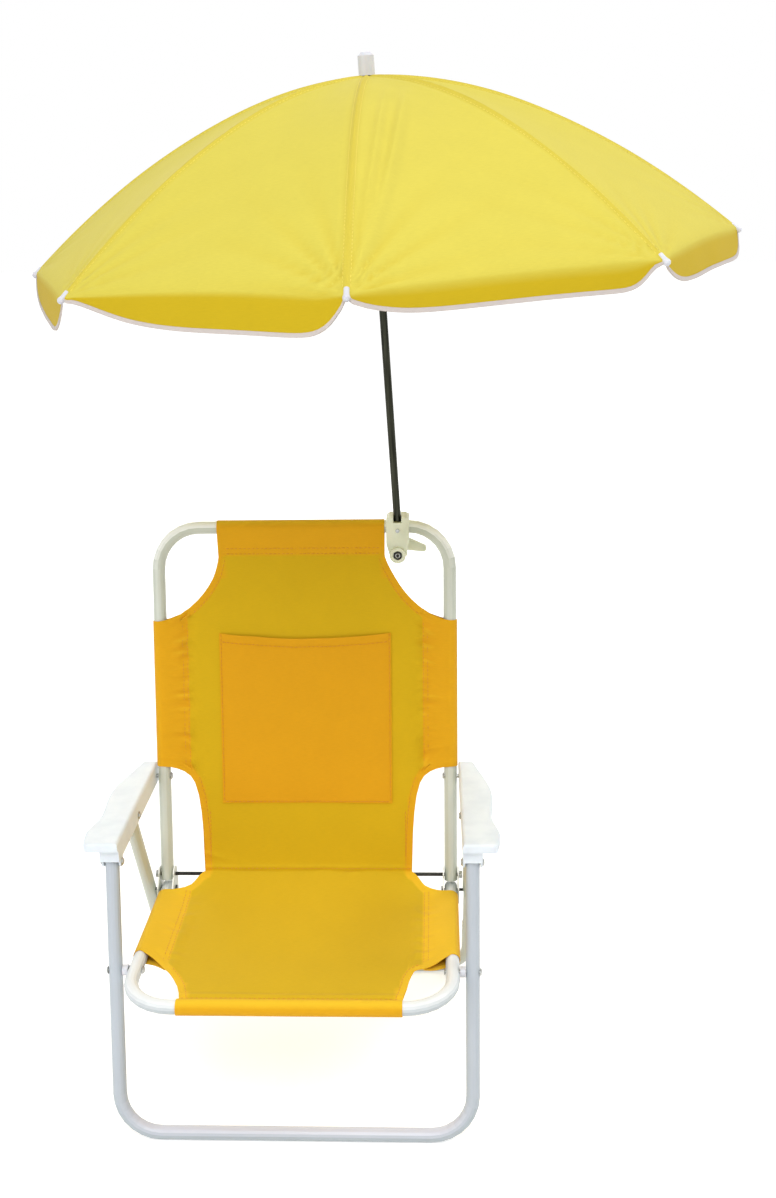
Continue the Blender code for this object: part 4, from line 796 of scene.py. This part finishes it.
def canopy_local(gore, across, ring):
    """A point of the cloth in the umbrella's frame; rings 0 to 1 are the dome, 1 to 2 the valance."""
    left = 2 * pi * gore / GORES
    right = 2 * pi * (gore + 1) / GORES
    share = CANOPY_HOLE / CANOPY_RADIUS + (1 - CANOPY_HOLE / CANOPY_RADIUS) * min(ring, 1.0)
    radius = CANOPY_RADIUS * share
    x = (sin(left) + (sin(right) - sin(left)) * across) * radius
    y = -(cos(left) + (cos(right) - cos(left)) * across) * radius
    middle = 4 * across * (1 - across)
    height = RIM_HEIGHT + CANOPY_RISE * (1 - share**DOME_POWER)
    height -= GORE_SAG * sin(pi * min(1.0, share)) * middle
    width = 2 * radius * sin(pi / GORES)
    seam = min(across, 1 - across) * width
    height += SEAM_RISE * ridge(seam, 0.0022) - 0.6 * SEAM_RISE * ridge(seam - 0.006, 0.003)
    outward = Vector((x, y)).normalized()
    height += RIM_LIFTS.get(gore % GORES, RIM_LIFT) * share**6 * middle
    height += canopy_folds(gore, across, share, width)
    from_rim = abs(ring - 1.0) * (DOME_LENGTH if ring < 1.0 else hang_at(gore, across))
    height -= RIM_ROUND * exp(-from_rim / 0.005) * middle
    if ring > 1.0:
        down = ring - 1.0
        drop = hang_at(gore, across) * down
        flare = drop * VALANCE_OUTWARD + 0.0022 * down * wrinkle(across * 3, gore * 1.7, 31.0, 0.8) * middle
        x += outward.x * flare
        y += outward.y * flare
        height -= drop
    return Vector((x, y, height))


def creases(gore, across, share, width):
    """The creases that fan out from a gore's two tips: (spoke, height from -1 to 1, distance to the tip)."""
    down = (1 - share) * CANOPY_RADIUS * 1.2
    for tip, spoke in ((across, gore), (1 - across, gore + 1)):
        sideways = tip * width
        angle = np.arctan2(sideways, down + 1e-9)
        fan = cos(15.0 * angle + 1.1 + 1.3 * spoke) * min(1.0, sideways / 0.005)
        yield spoke, fan, (sideways**2 + down**2) ** 0.5


def crease_shade(gore, across, share, width):
    """0 to 1 in the valleys of the creases: the share of painted shade where the valleys fall in shade."""
    shade = 0.0
    for spoke, fan, reach in creases(gore, across, share, width):
        weight = 1.0 if spoke % GORES == 0 else 0.55
        shade += weight * max(0.0, -fan) * exp(-reach / 0.042) * min(1.0, reach / 0.018) ** 2
    return min(1.0, 1.3 * shade)


def canopy_folds(gore, across, share, width):
    """Creases that fan out from each rib's tip, and the soft folds beside the front seam."""
    relief = 0.0
    for spoke, fan, reach in creases(gore, across, share, width):
        strength = 0.0026 if spoke % GORES == 0 else 0.0016
        relief += strength * fan * exp(-reach / CREASE_REACH) * min(1.0, reach / 0.030)
    if gore == 0:
        for reach, height, spread in ((0.046, 0.0052, 0.0060), (0.025, 0.0042, 0.0048)):
            off = across * width - reach * (1 - exp(-(1 - share) / 0.25))
            relief += height * ridge(off, spread) * max(0.0, sin(pi * (share - 0.22) / 0.78))
    lumps = noise.noise(Vector((across * 1.6, share * 3.0, gore * 5.3)))
    relief += 0.0011 * lumps * sin(pi * min(1.0, share))
    return relief * min(1.0, share * 4)


def canopy_point(gore, across, ring):
    return UMBRELLA @ canopy_local(gore % GORES, across, ring)


def moved_ring(gore, across, ring, distance):
    """The ring that lies a distance down the cloth from another."""
    hang = hang_at(gore, across)
    place = (ring - 1.0) * (DOME_LENGTH if ring < 1.0 else hang) + distance
    return min(2.0, max(0.0, 1.0 + place / (DOME_LENGTH if place < 0 else hang)))


def canopy_normal(gore, across, ring):
    above = canopy_point(gore, across, moved_ring(gore, across, ring, -0.0030))
    below = canopy_point(gore, across, moved_ring(gore, across, ring, 0.0030))
    step = 0.004
    before = canopy_point(gore, max(0.0, across - step), ring)
    after = canopy_point(gore, min(1.0, across + step), ring)
    return (after - before).cross(below - above).normalized() * -1


def canopy_rings(hang):
    """Rings from the top to the hem; the last ones keep to the binding's width wherever the hem hangs."""
    tape = min(0.6, BINDING / hang)
    dome = [(k / DOME_ROWS) ** DOME_CROWDING for k in range(DOME_ROWS)] + [0.992, 1.0]
    valance = [1.0 + (1 - tape) * down / 100 for down in VALANCE_ROWS]
    return dome + valance + [2.0 - tape * share for share in BINDING_ROWS]


def make_canopy_wedge(spoke, cloth, binding):
    """The cloth over one rib, out to the middle of the gore on each side of it."""
    half = [0.0, 0.008] + [0.018 + 0.482 * k / GORE_COLUMNS for k in range(GORE_COLUMNS + 1)]
    columns = [(spoke - 1, 1 - across) for across in reversed(half[1:])]
    columns += [(spoke, across) for across in half]
    rings = list(zip(*[canopy_rings(hang_at(gore, across)) for gore, across in columns]))
    outer = []
    inner = []
    for row, places in enumerate(rings):
        bound = row >= len(rings) - len(BINDING_ROWS)
        for ring, (gore, across) in zip(places, columns):
            point = canopy_point(gore, across, ring)
            normal = canopy_normal(gore, across, ring)
            if across in (0.0, 1.0):
                other = canopy_normal(gore - 1 if across == 0 else gore + 1, 1 - across, ring)
                normal = (normal + other).normalized()
            thickness = CLOTH * (2.6 if bound else 1.0)
            outer.append((point + normal * thickness / 2, normal, bound))
            inner.append((point - normal * thickness / 2, -normal, bound))
    wide = len(columns)
    tall = len(rings)
    count = wide * tall
    verts = [entry[0] for entry in outer + inner]
    normals = [entry[1] for entry in outer + inner]
    faces = []
    marks = []
    for j in range(tall - 1):
        for k in range(wide - 1):
            a = j * wide + k
            quad = (a, a + 1, a + wide + 1, a + wide)
            bound = any(outer[n][2] for n in quad)
            faces.append(tuple(reversed(quad)))
            faces.append(tuple(count + n for n in quad))
            marks += [bound, bound]
    loop = list(range(wide))
    loop += [j * wide + wide - 1 for j in range(1, tall)]
    loop += [(tall - 1) * wide + k for k in range(wide - 2, -1, -1)]
    loop += [j * wide for j in range(tall - 2, 0, -1)]
    for n, here in enumerate(loop):
        after = loop[(n + 1) % len(loop)]
        faces.append((here, after, count + after, count + here))
        marks.append(outer[here][2] and outer[after][2])
    mesh = bpy.data.meshes.new(f"canopy_cloth_{spoke + 1}")
    mesh.from_pydata(verts, [], faces)
    mesh.materials.append(cloth)
    mesh.materials.append(binding)
    mesh.polygons.foreach_set("material_index", [int(mark) for mark in marks])
    mesh.shade_smooth()
    uv = mesh.uv_layers.new(name="UVMap")
    ply_and_painted_light = mesh.attributes.new("layers", "FLOAT", "POINT")
    seats = {}
    for j, places in enumerate(rings):
        for k, (ring, (gore, across)) in enumerate(zip(places, columns)):
            width = 2 * CANOPY_RADIUS * min(ring, 1.0) * sin(pi / GORES)
            offset = across * width if gore == spoke else (across - 1) * width
            down = DOME_LENGTH * ring if ring <= 1 else DOME_LENGTH + (ring - 1) * 0.035
            seats[j * wide + k] = (offset, -down)
            # Painted shade: the valance darkens below its fold and the creases' valleys darken; the doubled
            # seams are deeper in colour as well.
            valance_shade = clamped((ring - 1.0) / VALANCE_SHADE_SPREADS.get(gore % GORES, VALANCE_SHADE_SPREAD) + 0.08)
            shade = 0.6 * crease_shade(gore % GORES, across, min(1.0, ring), width)
            shade_and_seam = max(valance_shade, shade, 0.35 * ridge(offset, 0.004))
            ply_and_painted_light.data[j * wide + k].value = shade_and_seam
            ply_and_painted_light.data[count + j * wide + k].value = shade_and_seam
    for corner in mesh.loops:
        uv.data[corner.index].uv = seats[corner.vertex_index % count]
    rim = len(faces) - len(loop)
    split = []
    for index, face in enumerate(mesh.polygons):
        for n in face.vertices:
            split.append(normals[n] if index < rim else face.normal.copy())
    mesh.normals_split_custom_set(split)
    wedge = bpy.data.objects.new(f"canopy_cloth_{spoke + 1}", mesh)
    bpy.context.scene.collection.objects.link(wedge)
    return wedge


def make_canopy(cloth, binding, thread, tip_plastic):
    for spoke in range(GORES):
        name = f"rib_{spoke + 1}"
        wedge = make_canopy_wedge(spoke, cloth, binding)
        if spoke == 0:
            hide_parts("canopy")
        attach(wedge, name)
        anchor = canopy_point(spoke, 0.0, 0.5)
        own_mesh(wedge)
        lines = []
        for side in (-1, 1):
            line = []
            for ring in np.linspace(0.05, 0.985, 120):
                share = SEAM_STITCH / max(2 * CANOPY_RADIUS * ring * sin(pi / GORES), 0.01)
                place = (spoke, share) if side > 0 else (spoke - 1, 1 - share)
                line.append((canopy_point(*place, ring), canopy_normal(*place, ring)))
            lines.append(line)
        sewn = stitches(f"canopy_stitching_{spoke + 1}", lines, thread, length=0.0030, radius=0.00024)
        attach(sewn, name)
        make_tip(spoke, tip_plastic, name)


# The cap's (distance along the rib, radius) pairs
TIP_PROFILE = (
    (-0.0065, 0.0019), (-0.0060, 0.0023), (-0.0010, 0.0023), (0.0008, 0.0026),
    (0.0024, 0.0031), (0.0042, 0.0029), (0.0055, 0.0019), (0.0060, 0.0006),
)


def make_tip(spoke, plastic, body):
    """The moulded cap on a rib's end, which the cloth's corner is tied to."""
    end = canopy_point(spoke, 0.0, 1.0)
    inside = canopy_point(spoke, 0.0, 0.975)
    outward = (end - inside).normalized()
    side = outward.cross(POLE_AXIS).normalized()
    over = side.cross(outward)
    shape = bmesh.new()
    rings = []
    for distance, radius in TIP_PROFILE:
        centre = end + outward * distance - POLE_AXIS * 0.0012
        rings.append(circle(shape, centre, side, over, radius, 12))
    for ring, after in zip(rings, rings[1:]):
        band(shape, ring, after)
    shape.faces.new(rings[0])
    shape.faces.new(rings[-1])
    tip = shaped(f"rib_tip_{spoke + 1}", shape, plastic)
    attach(tip, body)


# Small hardware


def make_bolt_ring(steel):
    """The rolled rim on the head of the clamp's bolt."""
    low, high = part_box("clamp_bolt")
    centre = Vector(((low[0] + high[0]) / 2, low[1], (low[2] + high[2]) / 2))
    profile = ((0.0016, 0.0), (0.0018, 0.0006), (0.0022, 0.0009), (0.0026, 0.0006), (0.0028, 0.0))
    shape = bmesh.new()
    rings = []
    for radius, rise in profile:
        raised = centre - Vector((0, rise, 0))
        rings.append(circle(shape, raised, Vector((1, 0, 0)), Vector((0, 0, 1)), radius, 32))
    for ring, after in zip(rings, rings[1:] + rings[:1]):
        band(shape, ring, after)
    rim = shaped("bolt_head_rim", shape, steel)
    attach(rim, "clamp")


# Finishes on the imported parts


def dress(finishes):
    """Gives the CAD nodes their finishes."""
    for node, made in finishes.items():
        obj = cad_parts[node]
        for held in obj.material_slots:
            held.material = made


# Camera, light and floor


def make_camera():
    level = cos(CAMERA_PITCH)
    ahead = Vector((-sin(CAMERA_YAW) * level, cos(CAMERA_YAW) * level, -sin(CAMERA_PITCH)))
    right = Vector((cos(CAMERA_YAW), sin(CAMERA_YAW), 0))
    up = right.cross(ahead)
    across = right * cos(CAMERA_ROLL) + up * sin(CAMERA_ROLL)
    upward = -right * sin(CAMERA_ROLL) + up * cos(CAMERA_ROLL)
    lens = bpy.data.cameras.new("camera")
    lens.lens = CAMERA_LENS
    lens.sensor_width = 36
    lens.clip_end = 50
    camera = bpy.data.objects.new("camera", lens)
    rotation = Matrix((across, upward, -ahead)).transposed().to_4x4()
    camera.matrix_world = Matrix.Translation(CAMERA_PLACE) @ rotation
    bpy.context.scene.collection.objects.link(camera)
    bpy.context.scene.camera = camera


def make_light(name, place, target, size, power):
    lamp = bpy.data.lights.new(name, "AREA")
    lamp.shape = "DISK"
    lamp.size = size
    lamp.energy = power
    obj = bpy.data.objects.new(name, lamp)
    obj.location = place
    obj.rotation_euler = (Vector(target) - Vector(place)).to_track_quat("-Z", "Y").to_euler()
    bpy.context.scene.collection.objects.link(obj)


def seen_directly(tree):
    """1 for a ray that shows the backdrop, and 0 for one that lights the chair by it."""
    path = add(tree, "ShaderNodeLightPath")
    share = path.outputs["Is Camera Ray"]
    for kind in ("Is Glossy Ray", "Is Transmission Ray"):
        either = add(tree, "ShaderNodeMath", {0: share, 1: path.outputs[kind]}, operation="MAXIMUM")
        share = either.outputs["Value"]
    return share


def make_stage():
    """A white floor and sky, and four soft lamps."""
    bpy.ops.mesh.primitive_plane_add(size=12, location=(0, 1, 0))
    floor = bpy.context.active_object
    floor.name = "studio_floor"
    made, tree, shader = finish("matt_paper_backdrop", "#F4F4F2", 0.95)
    glow = add(tree, "ShaderNodeMath", {0: seen_directly(tree)}, operation="MULTIPLY")
    glow.inputs[1].default_value = FLOOR_GLOW
    shader.inputs["Emission Color"].default_value = (1, 1, 1, 1)
    plug(tree, shader, Emission_Strength=glow.outputs["Value"])
    floor.data.materials.append(made)
    world = bpy.data.worlds.new("studio")
    bpy.context.scene.world = world
    world.use_nodes = True
    tree = world.node_tree
    background = tree.nodes["Background"]
    # The sky that lights the chair is bright overhead and dimmer towards the horizon.
    place = add(tree, "ShaderNodeTexCoord")
    height = add(tree, "ShaderNodeSeparateXYZ", {"Vector": place.outputs["Generated"]})
    sky = add(tree, "ShaderNodeMapRange", {"Value": height.outputs["Z"]}, To_Min=SKY_LOW, To_Max=SKY_HIGH)
    level = add(tree, "ShaderNodeMix", {0: seen_directly(tree), 2: sky.outputs["Result"]}, data_type="FLOAT")
    level.inputs[3].default_value = 1.0
    background.inputs["Color"].default_value = (1, 1, 1, 1)
    tree.links.new(level.outputs[0], background.inputs["Strength"])
    for lamp in LAMPS:
        make_light(*lamp)


def main():
    # One white powder coat in three lit and shaded copies: the legs darker as painted shade, the back frame,
    # rear legs and hinge brackets a warm grey as painted shade under the canopy with a painted reflection of
    # the yellow cloth, and the seat frame lightest. Each is painted lighter where it faces up.
    leg_tube = powder_coated_steel("powder_coated_steel_legs", "#B0BAC1", "#D5D8E4")
    seat_tube = powder_coated_steel("powder_coated_steel_seat", "#C0C8CC", "#EEF1F2")
    back_tube = powder_coated_steel("powder_coated_steel_back", "#CACFC2", "#FCFEFA", 0.22, 0.46)
    arm = moulded_polypropylene("moulded_polypropylene_white", "#EAF1F7", "#DFE7EF", 0.42)
    clamp = moulded_polypropylene("moulded_polypropylene_ivory", "#E6E8CE", "#D7DABE", 0.40)
    hub = moulded_polypropylene("moulded_polypropylene_hub", "#DCDDE4", "#CFD0D8", 0.35)
    zinc = plated_steel("zinc_plated_steel", "#C2C4C2", "#8F9392", 0.38)
    dark = plated_steel("black_zinc_plated_steel", "#3C3B38", "#222220", 0.36)
    bright = plated_steel("bright_drawn_steel", "#B9BAB4", "#7E8078", 0.24, draw_axis=(1.0, 1.0, 0.05))
    # The colours of each cloth: one layer and two, each upright and with a painted highlight where it faces
    # up. The canopy's second colour is also its painted shade on the valance and in the creases.
    sling = (("#D7AF0E", "#D8B21A"), ("#E4A812", "#EFC126"))
    pocket = (("#E0A210", "#E0A210"), ("#E2A310", "#E2A310"))
    canopy = (("#D2C44C", "#D2C44C"), ("#C5A806", "#C5A806"))
    tape = (("#C9BFB9", "#D5CCC6"), ("#C9BFB9", "#D5CCC6"))
    sling_cloth = woven_polyester("woven_polyester_oxford", *sling, 0.0010, 0.85, 0.06)
    pocket_cloth = woven_polyester("woven_polyester_pocket", *pocket, 0.0010, 0.85, 0.06)
    canopy_cloth = woven_polyester("woven_polyester_taffeta", *canopy, 0.0009, 0.70, 0.03)
    binding = woven_polyester("woven_binding_tape", *tape, 0.0012, 0.8, 0.10)
    thread = sewing_thread("spun_polyester_thread", "#D98F18")
    pale_thread = sewing_thread("spun_polyester_thread_pale", "#E8D75A")
    pole = plated_steel("drawn_steel_pole", "#3E3F35", "#20211C", 0.26, draw_axis=(1.0, 1.0, 0.05))
    looks = {"front_leg_frame": leg_tube, "rear_leg_frame": back_tube, "seat_frame": seat_tube}
    looks |= {node: back_tube for node in ("back_frame", "hinge_bracket_left", "hinge_bracket_right")}
    looks |= {f"armrest_{side}": arm for side in ("left", "right")}
    looks |= {node: clamp for node in ("clamp_body", "clamp_jaw", "clamp_lever")}
    looks |= {node: hub for node in ("umbrella_crown", "finial", "runner")}
    looks |= {node: dark for node in ("hinge_rod", "clamp_bolt", "slot_pin_left", "slot_pin_right")}
    looks |= {f"seat_pivot_spacer_{side}": hub for side in ("left", "right")}
    for kind in ("rod_nut", "seat_pivot_rivet", "arm_front_rivet", "arm_rear_rivet", "rear_leg_rivet"):
        looks |= {f"{kind}_{side}": zinc for side in ("left", "right")}
    looks["pole"] = pole
    looks["pole_set_screw"] = zinc
    for spoke in range(1, GORES + 1):
        looks[f"rib_{spoke}"] = bright
        looks[f"stretcher_{spoke}"] = dark
    dress(looks)
    make_sling(sling_cloth)
    make_pocket(pocket_cloth)
    make_stitching(thread)
    make_canopy(canopy_cloth, binding, pale_thread, hub)
    make_bolt_ring(zinc)
    make_camera()
    make_stage()
    bpy.context.scene.view_settings.view_transform = "Standard"


main()
